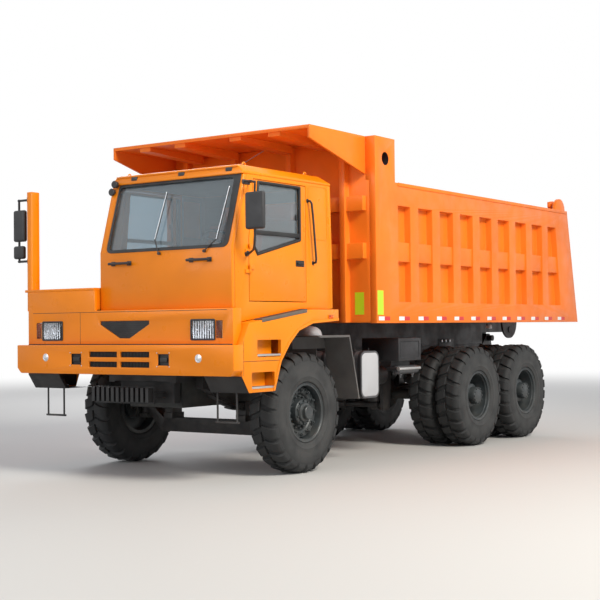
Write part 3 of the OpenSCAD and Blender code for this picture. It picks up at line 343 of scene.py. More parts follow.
cab_glass = clear("cab_glass", (0.5, 0.6, 0.66), ior=1.6, smudge=0.04, through=0.86)
lamp_glass = clear("lamp_glass", (0.95, 0.97, 1.0), smudge=0.03)
amber_lens = clear("amber_lens", (0.86, 0.42, 0.16), 0.2)
red_lens = clear("red_lens", (0.7, 0.02, 0.02), 0.15)
tape_white = finish("tape_white", (0.8, 0.8, 0.78), 0.35, patch=0.05, grain=900)
tape_red = finish("tape_red", (0.62, 0.02, 0.02), 0.35, patch=0.05, grain=900)
tape_lime = finish("tape_lime", (0.5, 0.75, 0.02), 0.4, patch=0.08, grain=900)
seat_cloth = finish("seat_cloth", (0.42, 0.13, 0.06), 0.85, patch=0.15, patch_scale=8,
                    grain=700, grain_depth=0.002, edge=0.0)
mirror_glass = finish("mirror_glass", (0.7, 0.72, 0.75), 0.04, metallic=1.0, patch=0.02)

# %% Every CAD node gets its finish
finish_of = {
    "crossmembers": chassis_black, "bed_stringers": chassis_black, "hoist_lugs": chassis_black,
    "frame": chassis_black, "front_axle": chassis_black, "springs": chassis_black,
    "rear_axles": castings, "driveline": castings, "engine": castings,
    "radiator": rubber_black, "cab_floor": chassis_black, "cab_glass": cab_glass,
    "dashboard": dark_plastic, "mudguards": guard_grey, "fuel_tank": tank_side,
    "battery_box": chassis_black, "air_cleaner": dome_white, "ladder": chassis_black,
    "door_left_glass": cab_glass, "door_right_glass": cab_glass,
    "knuckle_left": castings, "knuckle_right": castings, "tie_rod": castings,
    "hoist_barrels": chassis_black, "hoist_tubes_outer": rod_chrome,
    "hoist_tubes_inner": rod_chrome, "hoist_rods": rod_chrome,
    "seats": seat_cloth, "mirrors": dark_plastic, "lamps": lamp_glass,
}
for name, thing in nodes.items():
    painted = bed_orange if name.startswith("bed_") or name == "tailgate" else cab_orange
    chosen = finish_of.get(name, painted)
    if "tyre" in name:
        chosen = tyre_front
    if "rim" in name:
        chosen = wheel_paint
    for material_slot in thing.material_slots:
        material_slot.material = chosen
    if not thing.material_slots:
        thing.data.materials.append(chosen)
print("finishes:", len(bpy.data.materials))

# %% [markdown]
# ## Tools for new pieces
#
# A piece is one mesh that rides on one body. It is drawn in the truck's own frame,
# so its object stays at the origin. Three shapes do most of the work: a box with
# rounded edges, a round bar between two points and a plate cut from an outline.

# %% Making a piece
soft_angle = math.radians(35)

def make_piece(name, bm, body, material, replaces=()):
    """Turns a bmesh into a piece that rides on a body and may stand for CAD nodes."""
    mesh = bpy.data.meshes.new(name)
    bmesh.ops.recalc_face_normals(bm, faces=bm.faces)
    bm.to_mesh(mesh)
    bm.free()
    mesh.materials.append(material)
    mesh.polygons.foreach_set("use_smooth", [True] * len(mesh.polygons))
    mesh.set_sharp_from_angle(angle=soft_angle)
    piece = add_object(name, mesh)
    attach(piece, body)
    if replaces:
        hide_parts(*replaces)
    print(name, len(mesh.polygons), "faces")
    return piece

# %% Boxes, bars and plates
def round_edges(bm, edges, width, segments=2):
    """Bevels edges with the settings that the editor uses."""
    bmesh.ops.bevel(bm, geom=edges, offset=width, offset_type="OFFSET", segments=segments,
                    profile=0.5, affect="EDGES", clamp_overlap=True, material=-1)

def add_box(bm, low, high, width=0.0, segments=2):
    """A box between two corners, with its edges rounded."""
    low, high = Vector(low), Vector(high)
    place = Matrix.Translation((low + high) / 2) @ Matrix.Diagonal((*(high - low), 1))
    made = bmesh.ops.create_cube(bm, size=1, matrix=place)
    if width:
        edges = list({e for v in made["verts"] for e in v.link_edges})
        round_edges(bm, edges, width, segments)

def add_bar(bm, start, end, radius, sides=16, radius_end=None):
    """A round bar or cone between two points."""
    start, end = Vector(start), Vector(end)
    along = end - start
    turn = along.to_track_quat("Z", "Y").to_matrix().to_4x4()
    bmesh.ops.create_cone(bm, cap_ends=True, segments=sides, radius1=radius,
                          radius2=radius if radius_end is None else radius_end,
                          depth=along.length, matrix=Matrix.Translation((start + end) / 2) @ turn)

def add_ball(bm, centre, radius, sides=12, rings=8):
    """A ball, for a bend of a tube or the end of a bar."""
    bmesh.ops.create_uvsphere(bm, u_segments=sides, v_segments=rings, radius=radius,
                              matrix=Matrix.Translation(centre))

def add_plate(bm, outline, low, high, axis="x"):
    """A plate cut from an outline: in Y and Z along X, or in X and Z along Y."""
    if axis == "x":
        corners = [bm.verts.new((low, a, b)) for a, b in outline]
        along = Vector((high - low, 0, 0))
    else:
        corners = [bm.verts.new((a, low, b)) for a, b in outline]
        along = Vector((0, high - low, 0))
    face = bm.faces.new(corners)
    grown = bmesh.ops.extrude_face_region(bm, geom=[face], use_keep_orig=True)["geom"]
    bmesh.ops.translate(bm, vec=along,
                        verts=[v for v in grown if isinstance(v, bmesh.types.BMVert)])

def add_path(bm, points, radius, sides=12):
    """A bent tube through points, with a ball at each bend."""
    for start, end in zip(points, points[1:]):
        add_bar(bm, start, end, radius, sides)
    for point in points[1:-1]:
        add_ball(bm, point, radius, sides)

# %% Turning, placing, mirroring and joining
def at(x, y, z):
    """A point whose Y is counted from the front axle."""
    return (x, front_axle + y, z)

def from_axle(points):
    """Points in Y and Z whose Y is counted from the front axle."""
    return [(front_axle + y, z) for y, z in points]

def put(bm, place=(0, 0, 0), angle=0.0, axis="X"):
    """Turns a shape about an axis through the origin, then moves it."""
    if angle:
        bmesh.ops.rotate(bm, cent=(0, 0, 0), matrix=Matrix.Rotation(angle, 3, axis),
                         verts=bm.verts)
    bmesh.ops.translate(bm, vec=place, verts=bm.verts)

def add_mirrored(bm):
    """Adds the same shape on the truck's other side."""
    copy = bmesh.ops.duplicate(bm, geom=bm.verts[:] + bm.edges[:] + bm.faces[:])["geom"]
    verts = [v for v in copy if isinstance(v, bmesh.types.BMVert)]
    bmesh.ops.scale(bm, vec=(-1, 1, 1), verts=verts)
    bmesh.ops.reverse_faces(bm, faces=[f for f in copy if isinstance(f, bmesh.types.BMFace)])

def turn_about_x(bm, profile, steps):
    """Spins a profile of (radius, x) points about the X axis into a closed ring."""
    verts = [bm.verts.new((x, 0, r)) for r, x in profile]
    edges = [bm.edges.new(pair) for pair in zip(verts, verts[1:])]
    bmesh.ops.spin(bm, geom=verts + edges, cent=(0, 0, 0), axis=(1, 0, 0),
                   angle=math.tau, steps=steps, use_merge=True)

def repeat_round_x(bm, count):
    """Repeats all that is in a bmesh round the X axis, count times in all."""
    bmesh.ops.spin(bm, geom=bm.verts[:] + bm.edges[:] + bm.faces[:], cent=(0, 0, 0),
                   axis=(1, 0, 0), angle=math.tau * (count - 1) / count, steps=count - 1,
                   use_duplicate=True)

def join_into(bm, part, side=1):
    """Adds a finished bmesh to another one, on the truck's right where side is -1."""
    if side < 0:
        bmesh.ops.scale(part, vec=(-1, 1, 1), verts=part.verts)
        bmesh.ops.reverse_faces(part, faces=part.faces)
    store = bpy.data.meshes.new("store")
    part.to_mesh(store)
    part.free()
    bm.from_mesh(store)
    bpy.data.meshes.remove(store)

# %% [markdown]
# ## Rounded sheet metal
#
# Pressed and welded sheet never ends in a knife edge. A copy of each painted CAD
# node is cleaned of its loose triangles, then its hard edges are bevelled by the
# radius that the real panel has. The copy stands for the node in the picture, and
# the node itself stays for the simulation.

# %% Soften the painted panels
body_of_node = {n: b for b, members in frame["record"]["behaviour"]["bodies"].items()
                for n in members}
flat_angle, hard_angle = math.radians(1), math.radians(28)

def merged_copy(node):
    """A copy of a CAD node's loose triangles, merged into closed shells."""
    bm = bmesh.new()
    bm.from_mesh(nodes[node].data)
    bmesh.ops.remove_doubles(bm, verts=bm.verts, dist=1e-5)
    return bm

def soften(node, width, material):
    """A bevelled copy of a CAD node that replaces it in the picture."""
    bm = merged_copy(node)
    bmesh.ops.dissolve_limit(bm, angle_limit=flat_angle, verts=bm.verts, edges=bm.edges)
    hard = [e for e in bm.edges if len(e.link_faces) == 2 and e.calc_face_angle(0) > hard_angle]
    round_edges(bm, hard, width)
    make_piece(node + "_panel", bm, body_of_node[node], material, (node,))

panels = [
    # finish, slot of the record, each node with the radius of its edges
    (cab_orange, "cab_orange", {
        "bumper": 0.008, "front_panel": 0.005, "fenders": 0.008, "deck": 0.006,
        "cab_front": 0.01, "cab_sides": 0.006, "cab_back": 0.008, "cab_roof": 0.012,
        "door_left": 0.006, "door_right": 0.006}),
    (bed_orange, "bed_orange", {
        "bed_sides": 0.006, "bed_headboard": 0.005, "bed_canopy": 0.005, "tailgate": 0.006}),
    (chassis_black, "chassis_black", {"battery_box": 0.006, "front_axle": 0.01}),
    (dark_plastic, "dark_plastic", {"dashboard": 0.008}),
]
for material, slot, widths in panels:
    for node, width in widths.items():
        soften(node, width, material)

# %% [markdown]
# The step units are orange outside. Inside, below the upper step, shade falls, and
# that shade is painted: a thin dark skin, cut from a copy of the CAD node and lifted
# off it by a hair, paints it on just those faces.

# %% Painted shade inside the step units
# The faces inside the units below this first height get a painted shade
shade_top = 1.33        # height where the paint begins
outer_sheet = 1.55     # the outer sheet lies further out than this
inner_sheet = 1.379    # the parts behind the steps lie nearer than this
shade_lift = 0.0015
bm = merged_copy("fenders")
bmesh.ops.bisect_plane(bm, geom=bm.verts[:] + bm.edges[:] + bm.faces[:],
                       plane_co=(0, 0, shade_top), plane_no=(0, 0, 1))
painted = []
for face in bm.faces:
    middle = face.calc_center_median()
    nearest = min(abs(v.co.x) for v in face.verts)
    faces_in = face.normal.x * middle.x < 0 and nearest > outer_sheet
    hidden = nearest < inner_sheet and face.normal.y > -0.9
    if middle.z > shade_top or not (faces_in or hidden):
        painted.append(face)
bmesh.ops.delete(bm, geom=painted, context="FACES")
for v in bm.verts:
    v.co += v.normal * shade_lift
# The kept faces are a dark skin that paints the shade inside the step units
make_piece("fender_skin", bm, "chassis", chassis_black)

# %% [markdown]
# ## Tyres
#
# These are off-road tyres: a smooth round carcass with thick lugs that run from the
# middle of the tread over its shoulder. The carcass is one profile spun about the
# axle. One lug is a box that is bent over the shoulder and slanted, then repeated
# round the tyre by a spin that copies it. The other half carries the same lugs,
# mirrored and shifted by half a pitch.

# %% Lugs of one half of a tyre
lug_count = 24
lug_depth = 0.034
lug_from = 0.012                 # a lug's inner end, from the tyre's middle
tread_height = hub_z - 0.0068    # a lug's top, just inside the tyre's radius
half_width = 0.1825
flat_half = 0.105                # the tread is flat up to here, then drops
drop = 0.055

def shoulder(across):
    """Height of the tread over the axle at a distance from the tyre's middle."""
    edge = max(0.0, abs(across) - flat_half) / (half_width - flat_half)
    return tread_height - drop * edge ** 2.2

def add_lugs(bm, side):
    """The lugs on one half of the tread, each slanted and bent over the shoulder."""
    made = bmesh.ops.create_cube(bm, size=1)
    edges = {e for v in made["verts"] for e in v.link_edges}
    along = [e for e in edges if abs((e.verts[0].co - e.verts[1].co).x) > 0.5]
    bmesh.ops.subdivide_edges(bm, edges=along, cuts=6, use_grid_fill=True)
    verts = bm.verts[:]
    pitch = math.tau / lug_count
    for v in verts:
        t = v.co.x + 0.5
        across = lug_from + (half_width - 0.006 - lug_from) * t
        wide = pitch * (0.33 + 0.03 * t) * (0.92 if v.co.z > 0 else 1.06)
        angle = v.co.y * 2 * wide + pitch * 0.32 * (1 - t) ** 1.3
        top = shoulder(across)
        reach = top if v.co.z > 0 else top - lug_depth - 0.012
        v.co = Vector((across, reach * math.sin(angle), reach * math.cos(angle)))
    top_edges = [e for e in bm.edges if all(v.co.yz.length > shoulder(v.co.x) - 0.004
                 for v in e.verts) and e.calc_face_angle(0) > 0.6]
    round_edges(bm, top_edges, 0.005, 1)
    repeat_round_x(bm, lug_count)
    if side < 0:
        bmesh.ops.scale(bm, vec=(-1, 1, 1), verts=bm.verts)
        bmesh.ops.reverse_faces(bm, faces=bm.faces)
        put(bm, angle=pitch / 2)

# %% One tyre
carcass = [
    # distance from the axle, distance from the tyre's middle
    (0.3204, 0.1448), (0.339, 0.1448), (0.347, 0.157), (0.352, 0.168), (0.37, 0.174),
    (0.40, 0.178), (0.406, 0.1815), (0.414, 0.1815), (0.42, 0.179), (0.46, 0.182),
    (0.50, 0.1825), (0.55, 0.179), (0.585, 0.173), (0.612, 0.163), (0.634, 0.145),
    (0.646, 0.12), (0.650, 0.06), (0.651, 0.0),
]

def tyre_mesh():
    """One tyre about the origin, as a mesh to be copied for each wheel."""
    bm = bmesh.new()
    outline = carcass + [(r, -x) for r, x in reversed(carcass[:-1])] + [carcass[0]]
    turn_about_x(bm, outline, 96)
    bmesh.ops.remove_doubles(bm, verts=bm.verts, dist=1e-5)
    bmesh.ops.recalc_face_normals(bm, faces=bm.faces)
    for side in (1, -1):
        half = bmesh.new()
        add_lugs(half, side)
        join_into(bm, half)
    mesh = bpy.data.meshes.new("tyre_pattern")
    bm.to_mesh(mesh)
    bm.free()
    return mesh

tyre_pattern = tyre_mesh()
print("one tyre:", len(tyre_pattern.polygons), "faces")

# %% Ten tyres on six hubs
front_track = 1.265                     # middle of a front tyre, from the truck's middle
inner_twin, outer_twin = 1.01, 1.43     # middles of the two tyres of a pair
tyre_sets = [
    # node without its side, body without its side, centres along X, axle, rubber
    ("front_{}_tyre", "front_{}_wheel", (front_track,), front_axle, tyre_front),
    ("mid_{}_tyres", "mid_{}_wheels", (inner_twin, outer_twin), mid_axle, tyre_mid),
    ("rear_{}_tyres", "rear_{}_wheels", (inner_twin, outer_twin), rear_axle, tyre_rear),
]
for node, body, centres, axle_y, rubber in tyre_sets:
    for side, name in ((1, "left"), (-1, "right")):
        bm = bmesh.new()
        for turn, x in enumerate(centres):
            tyre = bmesh.new()
            tyre.from_mesh(tyre_pattern)
            # The tyres of a pair never stand with their lugs in line
            put(tyre, (side * x, axle_y, hub_z), 0.06 + 0.07 * turn)
            join_into(bm, tyre)
        make_piece(node.format(name) + "_tread", bm, body.format(name), rubber,
                   (node.format(name),))

# %% [markdown]
# ## Wheels
#
# A truck's rim is a rolled ring with a flange at each side and a lock ring, and a
# disc bolted to the hub by a circle of nuts. The front disc bulges outwards, so its
# nuts are seen; the rear ones are dished inwards and show a deep well with the hub's
# drum in its middle.

# %% Nuts, bolts and bosses
def add_circle_of(bm, count, radius, x, make):
    """Copies a small shape round the X axis at a radius."""
    part = bmesh.new()
    make(part)
    put(part, (x, 0, radius))
    repeat_round_x(part, count)
    join_into(bm, part)

def nut(part):
    """A wheel nut on its clamp, with the stud's end showing."""
    add_box(part, (-0.004, -0.026, -0.022), (0.008, 0.026, 0.03), 0.005, 2)
    add_bar(part, (0.006, 0, 0), (0.03, 0, 0), 0.019, 6)
    add_bar(part, (0.025, 0, 0), (0.046, 0, 0), 0.011, 8)

def hub_bolt(part):
    """A smaller bolt of the ring that holds the hub's cap."""
    add_bar(part, (0, 0, 0), (0.014, 0, 0), 0.011, 6)

def boss(part):
    """A bolted boss of the final drive's cover."""
    add_bar(part, (-0.004, 0, 0), (0.02, 0, 0), 0.0155, 12, 0.013)
    add_bar(part, (0.02, 0, 0), (0.032, 0, 0), 0.0105, 6)

# %% Sections of rims and hubs
# Each section is closed and gives distance from the axle and distance outwards
ring_section = [
    (0.295, -0.157), (0.337, -0.157), (0.337, -0.147), (0.3195, -0.145), (0.3195, 0.145),
    (0.337, 0.147), (0.3375, 0.1565), (0.330, 0.157), (0.322, 0.150),
]
front_rim = ring_section + [
    (0.306, 0.150), (0.300, 0.135), (0.299, 0.03), (0.293, 0.022), (0.289, 0.058), (0.286, 0.074),
    (0.277, 0.076), (0.272, 0.066), (0.225, 0.066), (0.214, 0.058), (0.204, 0.04),
    (0.17, 0.036), (0.150, 0.03), (0.13, 0.01), (0.13, -0.01), (0.24, -0.03), (0.295, -0.03),
    (0.295, -0.157),
]
rear_rim = ring_section + [
    (0.308, 0.150), (0.303, 0.12), (0.296, 0.115), (0.296, 0.02), (0.285, 0.0), (0.285, -0.08),
    (0.270, -0.105), (0.225, -0.112), (0.16, -0.112), (0.16, -0.132), (0.29, -0.132),
    (0.295, -0.157),
]

front_hub = [
    (0.0, 0.198), (0.07, 0.198), (0.078, 0.19), (0.082, 0.155), (0.105, 0.150),
    (0.112, 0.142), (0.115, 0.118), (0.14, 0.115), (0.148, 0.105), (0.148, -0.06),
    (0.056, -0.06), (0.056, 0.18), (0.0, 0.18),
]
outer_hub = [
    (0.0, 0.149), (0.10, 0.149), (0.112, 0.143), (0.118, 0.13), (0.12, 0.06), (0.15, 0.055),
    (0.163, 0.045), (0.164, -0.2), (0.056, -0.2), (0.056, 0.13), (0.0, 0.13),
]
inner_hub = [(0.164, 0.22), (0.164, -0.06), (0.056, -0.06), (0.056, 0.22), (0.164, 0.22)]

# %% Wheels on their axles
def add_wheel(bm, x, axle_y, outwards, rim, circles, hub):
    """A rim and hub placed on its axle; outwards is 1 or -1 along X."""
    part = bmesh.new()
    turn_about_x(part, rim, 72)
    turn_about_x(part, hub, 48)
    bmesh.ops.remove_doubles(part, verts=part.verts, dist=1e-5)
    for circle in circles:
        add_circle_of(part, *circle)
    put(part, (x * outwards, axle_y, hub_z))
    join_into(bm, part, outwards)

# How many, at which distance from the axle, how far outwards, and of what
rear_nuts = (10, 0.215, -0.113, nut)
front_circles = [(12, 0.25, 0.068, nut), (16, 0.183, 0.038, boss), (10, 0.131, 0.118, hub_bolt)]
outer_circles = [rear_nuts, (12, 0.105, 0.145, hub_bolt)]

for side, name in ((1, "left"), (-1, "right")):
    bm = bmesh.new()
    add_wheel(bm, side * front_track, front_axle, side, front_rim, front_circles, front_hub)
    make_piece(f"front_{name}_rim_disc", bm, f"front_{name}_wheel", wheel_paint,
               (f"front_{name}_rim",))
    for row, axle_y in (("mid", mid_axle), ("rear", rear_axle)):
        bm = bmesh.new()
        add_wheel(bm, side * outer_twin, axle_y, side, rear_rim, outer_circles, outer_hub)
        add_wheel(bm, side * inner_twin, axle_y, -side, rear_rim, [rear_nuts], inner_hub)
        make_piece(f"{row}_{name}_rim_disc", bm, f"{row}_{name}_wheels", wheel_paint,
                   (f"{row}_{name}_rims",))

# %% [markdown]
# ## Windscreen
#
# The screen is bonded behind a black band with rounded corners, which is wider along
# the top and on the truck's left. The band could be a bevelled rectangle with its
# middle inset, but then it would be equally wide all round. So its two outlines are
# drawn apart, each with curved corners, and joined by faces into a closed ring.

# %% Rings and frames
cab_face = -4.185                  # the cab's upright front, along Y
screen_foot = 2.51                 # height where the screen begins to lean back
screen_slope = 250 / 890           # how far it leans for each metre of height
screen_tilt = math.atan(screen_slope)

def on_screen(x, z):
    """A point on the windscreen's sloping sheet at a given x and height."""
    return Vector((x, cab_face + max(0, z - screen_foot) * screen_slope, z))

def add_ring(bm, wide, tall, corner, band, thick, place):
    """A flat ring with rounded corners, drawn about its middle, then put in place."""
    ring = bmesh.new()
    bmesh.ops.create_grid(ring, x_segments=1, y_segments=1, size=0.5,
                          matrix=Matrix.Diagonal((wide, tall, 1, 1)))
    bmesh.ops.bevel(ring, geom=ring.verts[:], offset=corner, offset_type="OFFSET",
                    segments=6, profile=0.5, affect="VERTICES", clamp_overlap=True, material=-1)
    bmesh.ops.inset_region(ring, faces=ring.faces[:], thickness=band,
                           use_even_offset=True, use_boundary=True)
    middle = max(ring.faces, key=lambda f: len(f.verts))
    bmesh.ops.delete(ring, geom=[middle], context="FACES_ONLY")
    bmesh.ops.solidify(ring, geom=ring.faces[:], thickness=thick)
    bmesh.ops.transform(ring, matrix=place, verts=ring.verts)
    join_into(bm, ring)

def facing(point, right, up):
    """A placement whose X is right, Y is up and Z faces outwards."""
    right, up = Vector(right).normalized(), Vector(up).normalized()
    rows = Matrix((right, up, right.cross(up))).transposed().to_4x4()
    return Matrix.Translation(point) @ rows

curve_steps = 6

def rounded(corners, radius):
    """The corners of a plane outline, each turned into a short curve."""
    points = []
    for i, corner in enumerate(corners):
        corner = Vector(corner)
        start = corner + (Vector(corners[i - 1]) - corner).normalized() * radius
        end = corner + (Vector(corners[(i + 1) % len(corners)]) - corner).normalized() * radius
        for k in range(curve_steps + 1):
            t = k / curve_steps
            points.append((1 - t) ** 2 * start + 2 * t * (1 - t) * corner + t * t * end)
    return points

# %% Screen band
outwards = Vector((0, -math.cos(screen_tilt), math.sin(screen_tilt)))
outer = rounded([(-0.3525, 2.5), (1.4, 2.5), (1.425, 3.333), (-0.335, 3.333)], 0.085)
inner = rounded([(-0.316, 2.534), (1.336, 2.534), (1.336, 3.258), (-0.316, 3.258)], 0.06)
behind_sheet, before_sheet = -0.002, 0.008
bm = bmesh.new()
loops = [[bm.verts.new(on_screen(*point) + outwards * lift) for point in line]
         for line, lift in ((inner, behind_sheet), (outer, behind_sheet),
                            (outer, before_sheet), (inner, before_sheet))]
for one, two in zip(loops, loops[1:] + loops[:1]):
    for i in range(len(one)):
        j = (i + 1) % len(one)
        bm.faces.new((one[i], one[j], two[j], two[i]))
make_piece("screen_band", bm, "chassis", rubber_black)

# %% [markdown]
# Two wipers rest on the glass, each with its pivot below the screen. An arm is a
# round bar from the pivot to the foot of the blade, and the blade is a bright bar
# with a dark rubber behind it.

# %% Wipers
off_glass = Vector((0, -0.03, 0.008))
arms = bmesh.new()
blades = bmesh.new()
for pivot_x, foot, tip in ((0.45, (0.377, 2.62), (0.43, 3.15)), (1.09, (1.25, 2.58), (1.31, 3.15))):
    pivot = on_screen(pivot_x, 2.47)
    low, high = on_screen(*foot) + off_glass, on_screen(*tip) + off_glass
    add_bar(arms, pivot, pivot + Vector((0, -0.03, 0)), 0.016)
    add_bar(arms, pivot + Vector((0, -0.025, 0)), low, 0.007, 8)
    add_bar(blades, low, high, 0.006, 8)
    add_box(arms, low + Vector((-0.006, 0.004, 0)), low + Vector((0.006, 0.02, 0.03)), 0.002)
    rubber = Vector((0, 0.014, 0))
    add_bar(arms, low.lerp(high, 0.04) + rubber, low.lerp(high, 0.98) + rubber, 0.005, 8)
make_piece("wiper_arms", arms, "chassis", dark_plastic)
make_piece("wiper_blades", blades, "chassis", rod_chrome)

# %% [markdown]
# ## Fittings on the cab
#
# A truck cab carries many small parts that give it its scale: grab handles under the
# screen for whoever cleans it, small dark lamps over it, round mirrors at the corner
# towards the deck, and lifting eyes, a rain lip and an aerial on the roof. Bars,
# rings and rounded boxes are enough for all of them.

# %% Handles under the screen and lamps over it
handle_z = 2.38
bm = bmesh.new()
for x0, x1 in ((-0.27, 0.03), (0.87, 1.18)):
    for x in (x0 + 0.03, x1 - 0.03):
        add_bar(bm, (x, cab_face, handle_z), (x, cab_face - 0.05, handle_z), 0.013)
        add_box(bm, (x - 0.03, cab_face - 0.012, 2.355), (x + 0.03, cab_face, 2.405), 0.004)
    add_bar(bm, (x0, cab_face - 0.05, handle_z), (x1, cab_face - 0.05, handle_z), 0.015)
for x in (-0.104, 0.594, 1.261):
    base = on_screen(x, 3.345)
    add_box(bm, base + Vector((-0.045, -0.04, -0.022)), base + Vector((0.045, 0.01, 0.024)), 0.01)
make_piece("front_handles", bm, "chassis", dark_plastic)

# %% Round corner mirrors
bm = bmesh.new()
for x, z in ((-0.375, 3.3), (-0.42, 3.215)):
    add_bar(bm, at(-0.36, -1.09, z - 0.02), at(x, -1.16, z), 0.008, 10)
    add_bar(bm, at(x, -1.155, z), at(x, -1.21, z), 0.03, 24, 0.043)
    add_bar(bm, at(x, -1.21, z), at(x, -1.218, z), 0.043, 24, 0.038)
make_piece("corner_mirrors", bm, "chassis", dark_plastic)

# %% Lifting eyes, rain lip and aerial
eye_radius, eye_wire = 0.024, 0.009
eye_section = [(eye_radius + eye_wire * math.cos(a), eye_wire * math.sin(a))
               for a in [math.tau * i / 10 for i in range(11)]]
bm = bmesh.new()
for y in (-1.0, 0.14):
    for x in (-0.33, 1.33):
        eye = bmesh.new()
        turn_about_x(eye, eye_section, 24)
        put(eye, at(x, y, 3.405))
        join_into(bm, eye)
        add_box(bm, at(x - 0.02, y - 0.035, 3.392), at(x + 0.02, y + 0.035, 3.402), 0.003)
# The lip over the windscreen keeps the sun and the rain off it
add_box(bm, (-0.38, -3.985, 3.366), (1.38, -3.9, 3.386), 0.006)
make_piece("roof_eyes", bm, "chassis", cab_orange)

aerial_foot = at(1.27, -0.93, 3.43)
bm = bmesh.new()
add_bar(bm, at(1.27, -0.93, 3.40), aerial_foot, 0.012, 12)
add_bar(bm, aerial_foot, at(1.30, -0.60, 3.60), 0.0035, 8, 0.002)
make_piece("aerial", bm, "chassis", dark_plastic)

# %% [markdown]
# A door's window sits in a rubber seal, and a bar parts it from the slanted lower
# pane. The handle lies in a shallow dish near the rear edge. The seal follows the
# glass's corners as a bar with a ball at each corner, and the rest is rounded boxes,
# drawn once and turned over for the other door.

# %% Door furniture
def add_seal(bm, corners, x, radius):
    """A bar round a window's corners, given in Y and Z at one X."""
    points = [(x, y, z) for y, z in corners]
    for start, end in zip(points, points[1:] + points[:1]):
        add_bar(bm, start, end, radius, 8)
        add_ball(bm, start, radius, 8, 6)

# Side, distance of the door's outer face from the truck's middle, and name
door_faces = ((1, 1.45, "left"), (-1, 0.45, "right"))
door_window = from_axle([(-0.925, 2.44), (-0.985, 2.53), (-0.905, 3.22), (-0.135, 3.22),
                         (-0.135, 2.63)])
for side, face, name in door_faces:
    part = bmesh.new()
    add_seal(part, door_window, face - 0.002, 0.017)
    # Bar across the window, and the window's catch
    add_box(part, at(face - 0.018, -0.96, 2.655), at(face + 0.006, -0.13, 2.7), 0.006)
    add_box(part, at(face - 0.02, -0.2, 2.85), at(face - 0.004, -0.17, 2.91), 0.004)
    # Dish, pull handle and key barrel
    add_box(part, at(face - 0.002, -0.22, 2.33), at(face + 0.006, -0.06, 2.40), 0.012, 3)
    add_box(part, at(face + 0.004, -0.205, 2.352), at(face + 0.03, -0.09, 2.378), 0.01, 3)
    add_bar(part, at(face, -0.078, 2.365), at(face + 0.012, -0.078, 2.365), 0.01)
    bm = bmesh.new()
    join_into(bm, part, side)
    make_piece(f"door_{name}_trim", bm, f"door_{name}", rubber_black)

# %% Grab rails and the pressed panel behind each door
# The rail's bends: how far out of the wall, then Y from the front axle and height
rail = [(-0.005, 0.02, 3.085), (0.04, 0.02, 3.08), (0.05, 0.035, 3.05), (0.05, 0.06, 2.9),
        (0.05, 0.115, 2.42), (0.04, 0.12, 2.385), (-0.005, 0.12, 2.38)]
rails = bmesh.new()
pressings = bmesh.new()
for side, face, name in door_faces:
    part = bmesh.new()
    add_path(part, [at(face + out, y, z) for out, y, z in rail], 0.012)
    for out, y, z in (rail[0], rail[-1]):
        add_bar(part, at(face - 0.002, y, z), at(face + 0.005, y, z), 0.024, 16)
    join_into(rails, part, side)
    part = bmesh.new()
    add_ring(part, 0.385, 0.62, 0.05, 0.014, 0.004,
             facing(at(face + 0.003, 0.225, 2.96), (0, 1, 0), (0, 0, 1)))
    add_box(part, at(face - 0.001, 0.05, 2.642), at(face + 0.002, 0.4, 2.65), 0.001, 1)
    join_into(pressings, part, side)
make_piece("side_rails", rails, "chassis", dark_plastic)
make_piece("side_pressings", pressings, "chassis", cab_orange)

# %% [markdown]
# ## Mirrors
#
# Each mirror is a moulded shell with soft edges, and its glass sits in the rear
# face. A box bevelled by a large radius gives the shell, and the glass is a thin
# plate set into it. Two mirrors hang on an upright post at the deck's corner, and
# one hangs at the truck's left between bent tubes.

# %% Mirror shells and glass
left_y, post_y = front_axle - 1.295, -4.205
shells = bmesh.new()
mirrors = bmesh.new()
for x0, x1, y, z0, z1 in ((1.59, 1.83, left_y, 2.675, 3.065), (-1.83, -1.64, post_y, 2.70, 3.075),
                          (-1.83, -1.66, post_y, 2.495, 2.65)):
    add_box(shells, (x0, y - 0.035, z0), (x1, y + 0.03, z1), 0.026, 4)
    add_box(mirrors, (x0 + 0.018, y + 0.026, z0 + 0.018),
            (x1 - 0.018, y + 0.033, z1 - 0.018), 0.002)

# %% Mirror tubes
tubes = bmesh.new()
# The left mirror hangs between a double tube above and a bent tube below
arm_y = front_axle - 1.13
for dy in (-0.02, 0.05):
    add_path(tubes, [(1.445, arm_y + dy, 3.2), (1.56, arm_y + dy - 0.02, 3.2),
                     (1.66, left_y + 0.06, 3.17), (1.70, left_y, 3.05)], 0.011)
add_box(tubes, (1.445, arm_y - 0.05, 3.175), (1.462, arm_y + 0.075, 3.225), 0.005)
add_path(tubes, [(1.445, arm_y + 0.01, 2.44), (1.5, arm_y, 2.44), (1.6, arm_y - 0.06, 2.47),
                 (1.675, left_y + 0.03, 2.56), (1.70, left_y, 2.70)], 0.012)
add_bar(tubes, (1.448, arm_y + 0.01, 2.44), (1.475, arm_y + 0.01, 2.44), 0.034, 20, 0.026)
# The post of the two right mirrors, on two short brackets
add_bar(tubes, (-1.756, post_y, 2.45), (-1.756, post_y, 3.205), 0.014, 12)
for z in (2.464, 3.19):
    add_bar(tubes, (-1.77, post_y, z), (-1.585, post_y, z), 0.014, 12)
    add_box(tubes, (-1.592, post_y - 0.03, z - 0.03), (-1.586, post_y + 0.03, z + 0.03), 0.002)
make_piece("mirror_shells", shells, "chassis", dark_plastic, ("mirrors",))
make_piece("mirror_faces", mirrors, "chassis", mirror_glass)
make_piece("mirror_tubes", tubes, "chassis", dark_plastic)

# %% [markdown]
# ## Lamps
#
# A headlamp is a bright reflector behind a lens in a dark frame. The reflector is a
# plate with two round bowls in front of it. Upright bright rods behind the lens break
# the reflection up as in the photo, with a dark gap between each two. All is drawn on
# the truck's left and mirrored.

